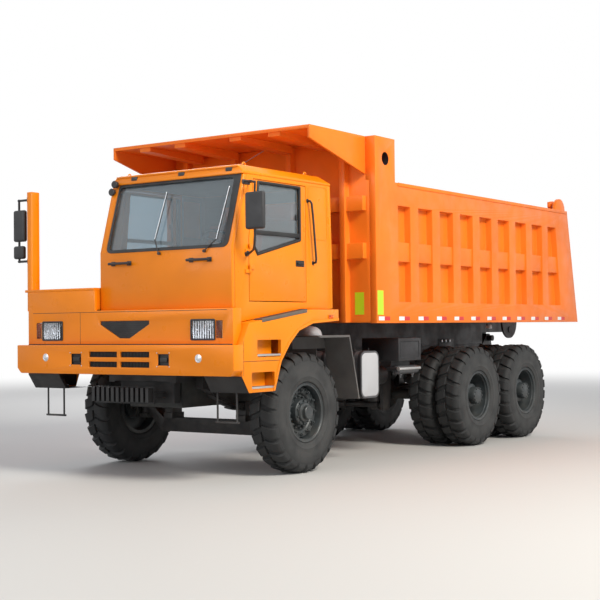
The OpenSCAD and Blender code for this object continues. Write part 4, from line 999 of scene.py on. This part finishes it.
# %% Headlamps
front_face = -4.275                # the front panel, along Y
lamp_low, lamp_high = 1.53, 1.74
lamp_middle = 1.635
x0, x1 = 0.965, 1.285
bowl_section = [(0.068, 0.02), (0.06, 0.008), (0.035, -0.004), (0.012, -0.006),
                (0.012, -0.012), (0.07, -0.012), (0.07, 0.02), (0.068, 0.02)]
reflectors = bmesh.new()
lenses = bmesh.new()
ambers = bmesh.new()
reds = bmesh.new()
housings = bmesh.new()
rods = bmesh.new()
add_box(reflectors, (x0, front_face + 0.022, lamp_low), (x1, front_face + 0.038, lamp_high), 0.002)
for x in (1.045, 1.2):
    bowl = bmesh.new()
    turn_about_x(bowl, bowl_section, 32)
    put(bowl, angle=math.pi / 2, axis="Z")
    bmesh.ops.scale(bowl, vec=(1, -1, 1), verts=bowl.verts)
    put(bowl, (x, front_face + 0.02, lamp_middle))
    join_into(reflectors, bowl)
    add_ball(reflectors, (x, front_face + 0.012, lamp_middle), 0.014, 16, 10)
add_box(lenses, (x0 + 0.006, front_face - 0.008, lamp_low + 0.006),
        (x1 - 0.006, front_face - 0.002, lamp_high - 0.006), 0.002)
for i in range(9):
    x, rod_y = x0 + 0.032 + i * 0.032, front_face + 0.012
    add_bar(rods, (x, rod_y, lamp_low + 0.012), (x, rod_y, lamp_high - 0.012), 0.0105, 12)
    add_box(housings, (x + 0.0125, front_face + 0.003, lamp_low + 0.01),
            (x + 0.0195, front_face + 0.02, lamp_high - 0.01), 0.001, 1)
add_ring(housings, 0.336, 0.226, 0.02, 0.02, 0.014,
         facing((1.125, front_face - 0.008, lamp_middle), (1, 0, 0), (0, 0, 1)))

# %% Indicators and tail lamps
add_box(ambers, (1.302, front_face - 0.006, 1.547), (1.388, front_face + 0.03, 1.728), 0.006, 3)
for i in range(5):
    x = 1.312 + i * 0.014
    add_box(ambers, (x, front_face - 0.0075, 1.56), (x + 0.005, front_face - 0.005, 1.715),
            0.0006, 1)
# A black box with three round lenses that face back
add_box(housings, (0.505, 3.605, 1.11), (0.565, 3.645, 1.23), 0.004)
add_box(housings, (0.51, 3.645, 1.09), (0.765, 3.68, 1.25), 0.01)
for i, target in enumerate((reds, ambers, reds)):
    x = 0.56 + i * 0.078
    add_bar(target, (x, 3.675, 1.17), (x, 3.69, 1.17), 0.033, 28, 0.03)
for part in (reflectors, lenses, ambers, reds, housings, rods):
    add_mirrored(part)
make_piece("lamp_rods", rods, "chassis", lamp_silver)
make_piece("lamp_reflectors", reflectors, "chassis", rod_chrome, ("lamps",))
make_piece("lamp_lenses", lenses, "chassis", lamp_glass)
make_piece("lamp_housings", housings, "chassis", dark_plastic)
make_piece("amber_lenses", ambers, "chassis", amber_lens)
make_piece("red_lenses", reds, "chassis", red_lens)

# %% [markdown]
# ## Front details
#
# Dark mesh fills the cooling slots, a dark plate with faint bars closes the middle
# opening, black boxes hold the tow eyes, and thin seams part the removable panels. A
# seam is drawn as a narrow dark strip that stands a hair out of the sheet, because at
# this size the eye reads its shade and not its depth.

# %% Slots, tow boxes and seams
bumper_face = -4.375               # the bumper's front, along Y
tow_x, tow_z = 0.6525, 1.3165      # middle of a tow box
dark = bmesh.new()
for z in (1.23, 1.34):
    add_box(dark, (0.02, bumper_face + 0.028, z - 0.004), (0.456, bumper_face + 0.034, z + 0.066))
    for i in range(20):
        add_box(dark, (0.03 + i * 0.0215, bumper_face + 0.02, z),
                (0.036 + i * 0.0215, bumper_face + 0.028, z + 0.062))
add_box(dark, (0.57, bumper_face + 0.026, 1.25), (0.735, bumper_face + 0.034, 1.383))
add_ring(dark, 0.19, 0.162, 0.012, 0.024, 0.012,
         facing((tow_x, bumper_face + 0.011, tow_z), (1, 0, 0), (0, 0, 1)))
add_box(dark, (0.6, bumper_face + 0.004, 1.29), (0.705, bumper_face + 0.028, 1.34), 0.006)
add_mirrored(dark)
# Seams: beside the middle panel, over the lamps and under the front panel
seam_y = front_face - 0.0006
for x0, x1, z0, z1, depth in ((-0.6825, -0.6775, 1.485, 1.842, 0.002),
                              (-1.45, 1.45, 1.8395, 1.8445, 0.002),
                              (-1.52, 1.52, 1.474, 1.486, 0.01)):
    add_box(dark, (x0, seam_y, z0), (x1, front_face + depth, z1))
# Plate of the middle opening, with a faint row of bars
opening = [(-0.364, 1.7395), (-0.364, 1.7015), (-0.0735, 1.5485), (0.0735, 1.5485),
           (0.364, 1.7015), (0.364, 1.7395)]
add_plate(dark, opening, front_face + 0.0115, front_face + 0.0155, "y")
for i in range(8):
    z = 1.562 + i * 0.022
    half = min(0.35, 0.05 + (z - 1.546) / 0.154 * 0.29)
    add_box(dark, (-half, front_face + 0.008, z), (half, front_face + 0.013, z + 0.006), 0.001, 1)
make_piece("front_mesh", dark, "chassis", rubber_black)

# %% Round reflectors on the bumper, and the bolts round each tow box
dome_section = [(0.0, -0.004), (0.014, -0.0036), (0.026, -0.0022), (0.031, -0.0005),
                (0.034, -0.003), (0.041, -0.0025), (0.045, 0.0), (0.045, 0.01), (0.0, 0.01)]
bm = bmesh.new()
for side in (-1, 1):
    dome = bmesh.new()
    turn_about_x(dome, dome_section, 32)
    put(dome, (side * 1.14, bumper_face, 1.333), math.pi / 2, "Z")
    join_into(bm, dome)
    for dx in (-0.088, 0.088):
        for z in (1.243, 1.39):
            x = side * tow_x + dx
            add_bar(bm, (x, bumper_face + 0.002, z), (x, bumper_face - 0.003, z), 0.007, 6)
make_piece("bumper_bezels", bm, "chassis", rod_chrome)

# %% [markdown]
# ## Steps and treads
#
# The step units have bright folded treads at the foot of each opening and a rough
# slat along the sloping top, where a foot lands. Their relief is small raised bars.

# %% Treads
def add_tread(bm, low, high, pitch):
    """A plate whose top carries short raised bars."""
    add_box(bm, low, high, 0.004)
    count = max(1, int((high[1] - low[1]) / pitch))
    for i in range(count):
        y = low[1] + (i + 0.5) * (high[1] - low[1]) / count
        add_box(bm, (low[0] + 0.012, y - 0.004, high[2] - 0.001),
                (high[0] - 0.012, y + 0.004, high[2] + 0.003), 0.001, 1)

# Each opening: its ends along Y, its foot and its top
openings = ((-1.138, -0.722, 1.366, 1.522), (-1.238, -0.842, 1.026, 1.182))
bm = bmesh.new()
for y0, y1, z, top in openings:
    add_tread(bm, at(1.40, y0, z - 0.004), at(1.594, y1, z), 0.03)
    add_box(bm, at(1.586, y0 + 0.004, z - 0.032), at(1.6, y1 - 0.004, z + 0.003), 0.003)
add_mirrored(bm)
# The bright bar of the battery box's foot rail, on the truck's left only
add_bar(bm, at(1.432, 2.015, 1.11), at(1.432, 2.545, 1.11), 0.024, 20)
make_piece("step_treads", bm, "chassis", tread_plate)

# %% Slats along the slope, folded down over the step unit's outer edge
slope = math.atan2(0.15, 1.15)
slat = bmesh.new()
add_box(slat, (1.49, -0.42, -0.006), (1.603, 0.42, 0.006), 0.003)
add_box(slat, (1.598, -0.42, -0.03), (1.604, 0.42, 0.006), 0.002)
for i in range(28):
    y = i * 0.03
    add_box(slat, (1.5, -0.41 + y, 0.005), (1.59, -0.402 + y, 0.009), 0.001, 1)
    add_box(slat, (1.603, -0.41 + y, -0.026), (1.606, -0.402 + y, 0.0), 0.001, 1)
put(slat, at(0, -0.64, 1.79), slope)
add_mirrored(slat)
make_piece("grip_slats", slat, "chassis", grip_grey)

# %% Lips of the wheel arches and back walls of the steps
arch = [(-0.842, 0.972), (-0.722, 1.282), (-0.557, 1.473), (-0.382, 1.613), (-0.112, 1.693),
        (0.408, 1.723)]
away_from_wheel = ((0.93, 0.3), (0.86, 0.55), (0.7, 0.72), (0.5, 0.88), (0.18, 0.98), (0.0, 1.0))
lip = 0.03
grown = [(y - lip * a, z + lip * b) for (y, z), (a, b) in zip(arch, away_from_wheel)]
lips = bmesh.new()
add_plate(lips, from_axle(arch + grown[::-1]), 1.596, 1.607)
add_box(lips, at(1.598, -1.39, 1.30), at(1.6035, -0.745, 1.308), 0.002, 1)
for y0, y1, z0, z1 in openings:
    add_box(lips, at(1.462, y0, z0), at(1.47, y1, z1), 0.002, 1)
add_mirrored(lips)
make_piece("arch_lips", lips, "chassis", cab_orange)

# %% Seams, painted shade under and inside the step units, and their side lamps
shade = bmesh.new()
add_box(shade, at(1.5985, -1.396, 1.2955), at(1.6012, -0.745, 1.2995))
add_box(shade, at(1.5985, -1.379, 1.15), at(1.6012, -1.375, 1.51))
# Painted shade: dark plates on both units' undersides, on the faces that slope down to the front
# and lie in shadow under the bumper
underside = [(-1.404, 1.145), (-1.404, 1.129), (-1.292, 0.9665), (-0.845, 0.9665),
             (-0.845, 0.9695), (-1.29, 0.9697), (-1.4005, 1.1305), (-1.4005, 1.145)]
add_plate(shade, from_axle(underside), 1.092, 1.592)
# Painted shade: dark sheets on the steps' boxes towards the middle, where shade falls inside them
for y0, y1, z0, z1 in ((-1.24, -0.84, 0.985, 1.202), (-1.14, -0.72, 1.325, 1.542)):
    add_box(shade, at(1.374, y0, z0), at(1.379, y1, z1))
add_mirrored(shade)
make_piece("step_shades", shade, "chassis", rubber_black)

side_lamps = bmesh.new()
add_box(side_lamps, at(1.596, 0.2, 1.748), at(1.612, 0.29, 1.786), 0.006, 3)
add_mirrored(side_lamps)
make_piece("side_lamps", side_lamps, "chassis", amber_lens)

# %% [markdown]
# ## Reflecting tape
#
# Strips of tape in white and red mark the truck's length along the bed's lower rail,
# and lime strips mark each front corner of the bed. Tape is thin, so each strip is
# a plate two millimetres thick laid half into the paint.

# %% Tape strips
bed_face = 1.66                    # the rail's outer face, along X
tape, strip, pitch = 0.001, 0.13, 0.475
white_strips = bmesh.new()
red_strips = bmesh.new()
lime_strips = bmesh.new()
for i in range(12):
    y = -1.62 + i * pitch
    for strips, start in ((white_strips, y), (red_strips, y + strip)):
        add_box(strips, (bed_face - tape, start, 1.722), (bed_face + tape, start + strip, 1.77))
add_box(lime_strips, (bed_face - tape, -1.646, 1.79), (bed_face + tape, -1.51, 2.084))
add_box(lime_strips, (1.35, -1.6665, 1.795), (1.48, -1.6645, 2.065))
for part in (white_strips, red_strips, lime_strips):
    add_mirrored(part)
make_piece("tape_white_strips", white_strips, "bed", tape_white)
make_piece("tape_red_strips", red_strips, "bed", tape_red)
make_piece("tape_lime_strips", lime_strips, "bed", tape_lime)

# %% [markdown]
# ## Small pieces of the bed
#
# The bed's walls end in a folded cap along the top rail. A dark tube lines the bore
# that the bed is lifted by, half-round plates hold the hinge behind the rear wheels,
# and a pale lamp hangs under the bed above them.

# %% Bore liners and caps along the top rails
liner = bmesh.new()
bmesh.ops.create_cone(liner, cap_ends=False, segments=40, radius1=0.0785, radius2=0.0785,
                      depth=0.134, matrix=Matrix.Translation(at(1.59, 1.385, 3.69))
                      @ Matrix.Rotation(math.radians(90), 4, "Y"))
add_mirrored(liner)
make_piece("bore_liners", liner, "bed", chassis_black)

caps = bmesh.new()
add_box(caps, (1.655, -1.14, 3.378), (1.669, 4.0, 3.424), 0.006, 3)
add_mirrored(caps)
make_piece("rail_caps", caps, "bed", bed_orange)

# %% Hinge plates and lamps under the bed
plate_radius = 0.25
half_round = [(6.1 + plate_radius * math.cos(a), 1.7 - plate_radius * math.sin(a))
              for a in [math.pi * i / 20 for i in range(21)]]
plates = bmesh.new()
add_plate(plates, from_axle(half_round), 0.97, 1.0)
add_bar(plates, at(0.965, 6.1, 1.58), at(1.012, 6.1, 1.58), 0.05, 24)
add_box(plates, at(0.975, 5.36, 1.65), at(0.985, 5.44, 1.7), 0.002)
add_mirrored(plates)
make_piece("hinge_plates", plates, "bed", chassis_black)

lamp = bmesh.new()
add_plate(lamp, from_axle([(5.35, 1.6), (5.45, 1.6), (5.43, 1.66), (5.37, 1.66)]), 0.96, 1.03)
round_edges(lamp, lamp.edges[:], 0.008)
add_mirrored(lamp)
make_piece("bed_lamps", lamp, "bed", dome_white)

# %% [markdown]
# ## Under the truck
#
# Air brakes need a reservoir, a chamber with a bent hose at each axle end and bolted
# brackets. They are small, but they fill the dark space between the tanks and the
# wheels, and their bolts catch the light.

# %% Tanks for air
def add_air_tank(bm, x, y0, y1, z, radius, end_reach, end_radius, end_tip):
    """A round tank along Y with a tapered end at both sides."""
    add_bar(bm, at(x, y0, z), at(x, y1, z), radius, 32)
    for end, out in ((y0, -end_reach), (y1, end_reach)):
        add_bar(bm, at(x, end, z), at(x, end + out, z), end_radius, 32, end_tip)

under = bmesh.new()
tank_x, tank_z, tank_radius = 0.74, 1.0, 0.125
add_air_tank(under, tank_x, 1.75, 2.7, tank_z, tank_radius, 0.03, tank_radius * 0.98,
             tank_radius * 0.7)
for y in (1.95, 2.5):
    add_bar(under, at(tank_x, y - 0.02, tank_z), at(tank_x, y + 0.02, tank_z),
            tank_radius + 0.005, 32)
    add_box(under, at(0.5, y - 0.03, tank_z + 0.07), at(0.75, y + 0.03, tank_z + 0.135), 0.004)

# %% Brake chambers, hoses and bolts
chamber_x = 0.62
for y in (3.9, 5.4):
    add_bar(under, at(chamber_x, y - 0.13, 0.9), at(chamber_x, y - 0.26, 0.93), 0.08, 24)
    add_bar(under, at(chamber_x, y - 0.26, 0.93), at(chamber_x, y - 0.30, 0.94), 0.07, 24, 0.05)
    add_path(under, [at(chamber_x, y - 0.3, 0.95), at(0.6, y - 0.36, 1.05),
                     at(0.56, y - 0.34, 1.18), at(0.5, y - 0.3, 1.24)], 0.014, 8)
bolts = bmesh.new()
for y in (-0.24, -0.08, 0.08, 0.24):
    for z in (1.12, 1.26):
        add_bar(bolts, at(0.54, 4.65 + y, z), at(0.556, 4.65 + y, z), 0.016, 6)
# A plate with three bright bolts over the rear wheels, and the rubber strip that the
# bed's stringers rest on
add_box(under, at(0.502, 4.72, 1.22), at(0.512, 5.2, 1.46), 0.004)
for y in (4.8, 4.92, 5.04):
    add_bar(bolts, at(0.512, y, 1.425), at(0.532, y, 1.425), 0.02, 6)
add_box(under, at(0.43, 1.45, 1.3505), at(0.496, 6.05, 1.3635), 0.002)
for y in (1.9, 2.6, 3.0, 3.3):
    add_bar(bolts, at(0.5, y, 1.3), at(0.513, y, 1.3), 0.013, 6)
add_path(under, [at(0.52, 0.9, 1.28), at(0.53, 1.2, 1.31), at(0.52, 2.6, 1.31),
                 at(0.53, 3.2, 1.26)], 0.013, 8)
add_mirrored(under)
add_mirrored(bolts)
make_piece("air_lines", under, "chassis", chassis_black)
make_piece("frame_bolts", bolts, "chassis", tank_metal)

# %% [markdown]
# ## Tanks and boxes
#
# The fuel tanks are pressed aluminium with two steel straps and a filler cap. A
# strap is the tank's own rounded outline, grown by its thickness. The end sheet is
# dished outwards inside its folded rim.

# %% Tank straps, ends and caps
def rounded_outline(y0, y1, z0, z1, corner):
    """Corners of a rounded rectangle in Y and Z, anticlockwise."""
    points = []
    for cy, cz, start in ((y1 - corner, z0 + corner, -90), (y1 - corner, z1 - corner, 0),
                          (y0 + corner, z1 - corner, 90), (y0 + corner, z0 + corner, 180)):
        for i in range(curve_steps + 1):
            a = math.radians(start + 90 * i / curve_steps)
            points.append((cy + corner * math.cos(a), cz + corner * math.sin(a)))
    return points

def tank_outline(y0, y1, grow, corner):
    """The tank's outline in Y and Z, grown on all sides."""
    return rounded_outline(y0 - grow, y1 + grow, 0.78 - grow, 1.35 + grow, corner)

straps = bmesh.new()
caps = bmesh.new()
ends = bmesh.new()
for side, y0, y1 in ((1, -1.655, -1.245), (-1, -1.535, -0.115)):
    part = bmesh.new()
    for x in (0.86, 1.3):
        add_plate(part, tank_outline(y0, y1, 0.005, 0.095), x - 0.02, x + 0.02)
        for y in (y0 + 0.05, y1 - 0.05):
            add_bar(part, (x, y, 1.35), (x, y, 1.385), 0.009, 8)
    add_plate(part, tank_outline(y0, y1, 0.004, 0.094), 1.375, 1.414)
    join_into(straps, part, side)
    part = bmesh.new()
    add_plate(part, tank_outline(y0, y1, -0.018, 0.075), 1.41, 1.424)
    edge = [e for e in part.edges if all(v.co.x > 1.42 for v in e.verts)]
    round_edges(part, edge, 0.012, 3)
    join_into(ends, part, side)
    part = bmesh.new()
    middle = (y0 + y1) / 2
    add_bar(part, (1.1, middle, 1.345), (1.1, middle, 1.375), 0.05, 28)
    add_bar(part, (1.1, middle, 1.372), (1.1, middle, 1.392), 0.058, 28, 0.05)
    join_into(caps, part, side)
make_piece("tank_ends", ends, "chassis", dome_white)
make_piece("tank_straps", straps, "chassis", chassis_black)
make_piece("tank_caps", caps, "chassis", dark_plastic)

# %% Swinging steps and the air cleaner's dome
rung_z = 0.652
bm = bmesh.new()
for x in (1.153, 1.414):
    add_bar(bm, at(x, -1.26, 0.645), at(x, -1.26, 0.97), 0.011, 12)
    add_ball(bm, at(x, -1.26, rung_z), 0.013)
add_bar(bm, at(1.127, -1.26, rung_z), at(1.44, -1.26, rung_z), 0.012, 12)
add_mirrored(bm)
make_piece("ladder_rods", bm, "chassis", chassis_black, ("ladder",))

dome = [(0.0, 0.112), (0.03, 0.111), (0.07, 0.104), (0.105, 0.088), (0.132, 0.064),
        (0.146, 0.036), (0.15, 0.01), (0.156, 0.008), (0.156, 0.0), (0.0, 0.0)]
bm = bmesh.new()
turn_about_x(bm, dome, 40)
put(bm, at(1.08, 0.56, 1.55), -math.pi / 2, "Y")
make_piece("cleaner_dome", bm, "chassis", dome_white, ("air_cleaner",))

# %% Lap joint of each mudguard
bm = bmesh.new()
lap = [(0.94, 1.285), (0.955, 1.225), (0.942, 1.222), (0.927, 1.282)]
add_plate(bm, from_axle(lap), 1.075, 1.464)
add_box(bm, at(1.455, 0.22, 1.526), at(1.466, 0.85, 1.553), 0.003)
add_mirrored(bm)
make_piece("guard_laps", bm, "chassis", guard_grey)

# %% Air tank on the battery box's foot rail
foot_x, foot_z = 1.392, 1.095
bm = bmesh.new()
add_air_tank(bm, foot_x, 2.05, 2.51, foot_z, 0.053, 0.022, 0.052, 0.03)
for y in (2.13, 2.43):
    add_bar(bm, at(foot_x, y - 0.014, foot_z), at(foot_x, y + 0.014, foot_z), 0.056, 32)
    add_bar(bm, at(foot_x, y, 1.05), at(foot_x, y, 0.995), 0.012, 8)
    add_bar(bm, at(foot_x, y, 1.06), at(foot_x, y, 1.025), 0.022, 6)
make_piece("air_tank", bm, "chassis", tank_side)

# %% Panel pressed into the battery box
bm = bmesh.new()
add_ring(bm, 0.48, 0.22, 0.03, 0.014, 0.006,
         facing(at(1.4535, 2.28, 1.355), (0, 1, 0), (0, 0, 1)))
add_box(bm, at(1.449, 2.05, 1.452), at(1.458, 2.51, 1.462), 0.002)
make_piece("box_panel", bm, "chassis", chassis_black)

# %% [markdown]
# ## Inside the cab
#
# Seen through the glass, a cab is mostly grey: a padded back wall with a window, a
# roof lining, a rubber mat and door trims. Without them the paint's orange would fill
# the windscreen. A strip of the side wall is left bare, as in the photo.

# %% Linings and mat
bm = bmesh.new()
for x0, x1, z0, z1 in ((-0.396, 1.396, 1.93, 2.55), (-0.396, 1.396, 3.13, 3.275),
                       (-0.396, -0.11, 2.55, 3.13), (1.11, 1.396, 2.55, 3.13)):
    add_box(bm, at(x0, 0.418, z0), at(x1, 0.428, z1), 0.003)
add_box(bm, at(-0.396, -1.085, 3.275), at(1.396, 0.4, 3.288), 0.004)
for x in (-0.397, 1.389):
    add_box(bm, at(x, 0.0, 1.93), at(x + 0.008, 0.416, 3.27), 0.002)
make_piece("cab_lining", bm, "chassis", lining_grey)

bm = bmesh.new()
add_box(bm, at(-0.389, 0.02, 2.76), at(-0.385, 0.33, 3.2), 0.001, 1)
make_piece("bare_wall", bm, "chassis", cab_orange)

bm = bmesh.new()
add_box(bm, at(-0.39, -1.3, 1.921), at(1.39, 0.41, 1.932), 0.003)
for i in range(30):
    y = i * 0.045
    add_box(bm, at(-0.37, -1.0 + y, 1.931), at(1.37, -0.98 + y, 1.935), 0.001, 1)
make_piece("floor_mat", bm, "chassis", rubber_black)

# %% Door trims with their armrests
for side, face, name, low in ((1, 1.4, "left", 1.98), (-1, 0.4, "right", 2.2)):
    x = face - 0.01
    part = bmesh.new()
    add_box(part, at(x, -1.05, low), at(face - 0.001, -0.04, 2.41), 0.004, 3)
    add_box(part, at(x, -0.11, 2.41), at(face - 0.001, -0.04, 3.22), 0.003)
    add_box(part, at(x - 0.045, -0.75, 2.3), at(x, -0.3, 2.34), 0.012, 3)
    bm = bmesh.new()
    join_into(bm, part, side)
    make_piece(f"door_{name}_lining", bm, f"door_{name}", lining_grey)

# %% [markdown]
# ## Seats
#
# Seat cushions are foam under cloth. Each is a subdivided box whose middle is
# crowned, whose edges pull in at the piping and whose face has two sewn channels,
# which the smooth subdivision then rounds. The seats stand on boxes with bellows.

# %% Cushions
fullness, sides = 0.28, 0.72       # how much of the thickness is crown, and how much is side
channel_at, channel_width, channel_depth = 0.55, 0.06, 0.06

def cushion(name, low, high, tilt=0.0, replaces=()):
    """A crowned pad between two corners, turned about X by tilt degrees."""
    low, high = Vector(low), Vector(high)
    size, middle = high - low, (low + high) / 2
    thin = min(range(3), key=lambda axis: size[axis])
    flat = [axis for axis in range(3) if axis != thin]
    bm = bmesh.new()
    bmesh.ops.create_cube(bm, size=1)
    bmesh.ops.subdivide_edges(bm, edges=bm.edges[:], cuts=9, use_grid_fill=True)
    for v in bm.verts:
        a, b = (v.co[axis] * 2 for axis in flat)
        dome = (1 - a * a) ** 0.5 * (1 - b * b) ** 0.5 if abs(a) < 1 and abs(b) < 1 else 0
        v.co[thin] *= sides + fullness * dome
        pull = 1 - 0.03 * (1 - dome)
        v.co[thin] *= 1 - channel_depth * math.exp(-((abs(a) - channel_at) / channel_width) ** 2)
        for axis in flat:
            v.co[axis] *= pull
        v.co[thin] = max(-0.5, min(0.5, v.co[thin]))
    bmesh.ops.scale(bm, vec=size, verts=bm.verts)
    bmesh.ops.rotate(bm, cent=(0, 0, 0), matrix=Matrix.Rotation(math.radians(tilt), 3, "X"),
                     verts=bm.verts)
    bmesh.ops.translate(bm, vec=middle, verts=bm.verts)
    piece = make_piece(name, bm, "chassis", seat_cloth, replaces)
    smooth = piece.modifiers.new("soft", "SUBSURF")
    smooth.levels = smooth.render_levels = 1

# Name, middle along X, and the CAD node that the cushion stands for
seats = (("driver", 0.95, ("seats",)), ("second", 0.13, ()))
for name, x, replaces in seats:
    cushion(f"{name}_seat_cushion", at(x - 0.25, -0.42, 2.225), at(x + 0.25, 0.10, 2.33),
            replaces=replaces)
    cushion(f"{name}_seat_back", at(x - 0.235, 0.09, 2.34), at(x + 0.235, 0.205, 2.9), tilt=-12)

# %% Seat bases
bm = bmesh.new()
for name, x, replaces in seats:
    add_box(bm, at(x - 0.17, -0.32, 1.92), at(x + 0.17, 0.05, 2.14), 0.02, 3)
    add_box(bm, at(x - 0.22, -0.38, 2.14), at(x + 0.22, 0.1, 2.225), 0.02, 3)
    for i in range(5):
        z = 1.945 + i * 0.04
        add_box(bm, at(x - 0.175, -0.325, z), at(x + 0.175, 0.055, z + 0.02), 0.006)
make_piece("seat_bases", bm, "chassis", dark_plastic)
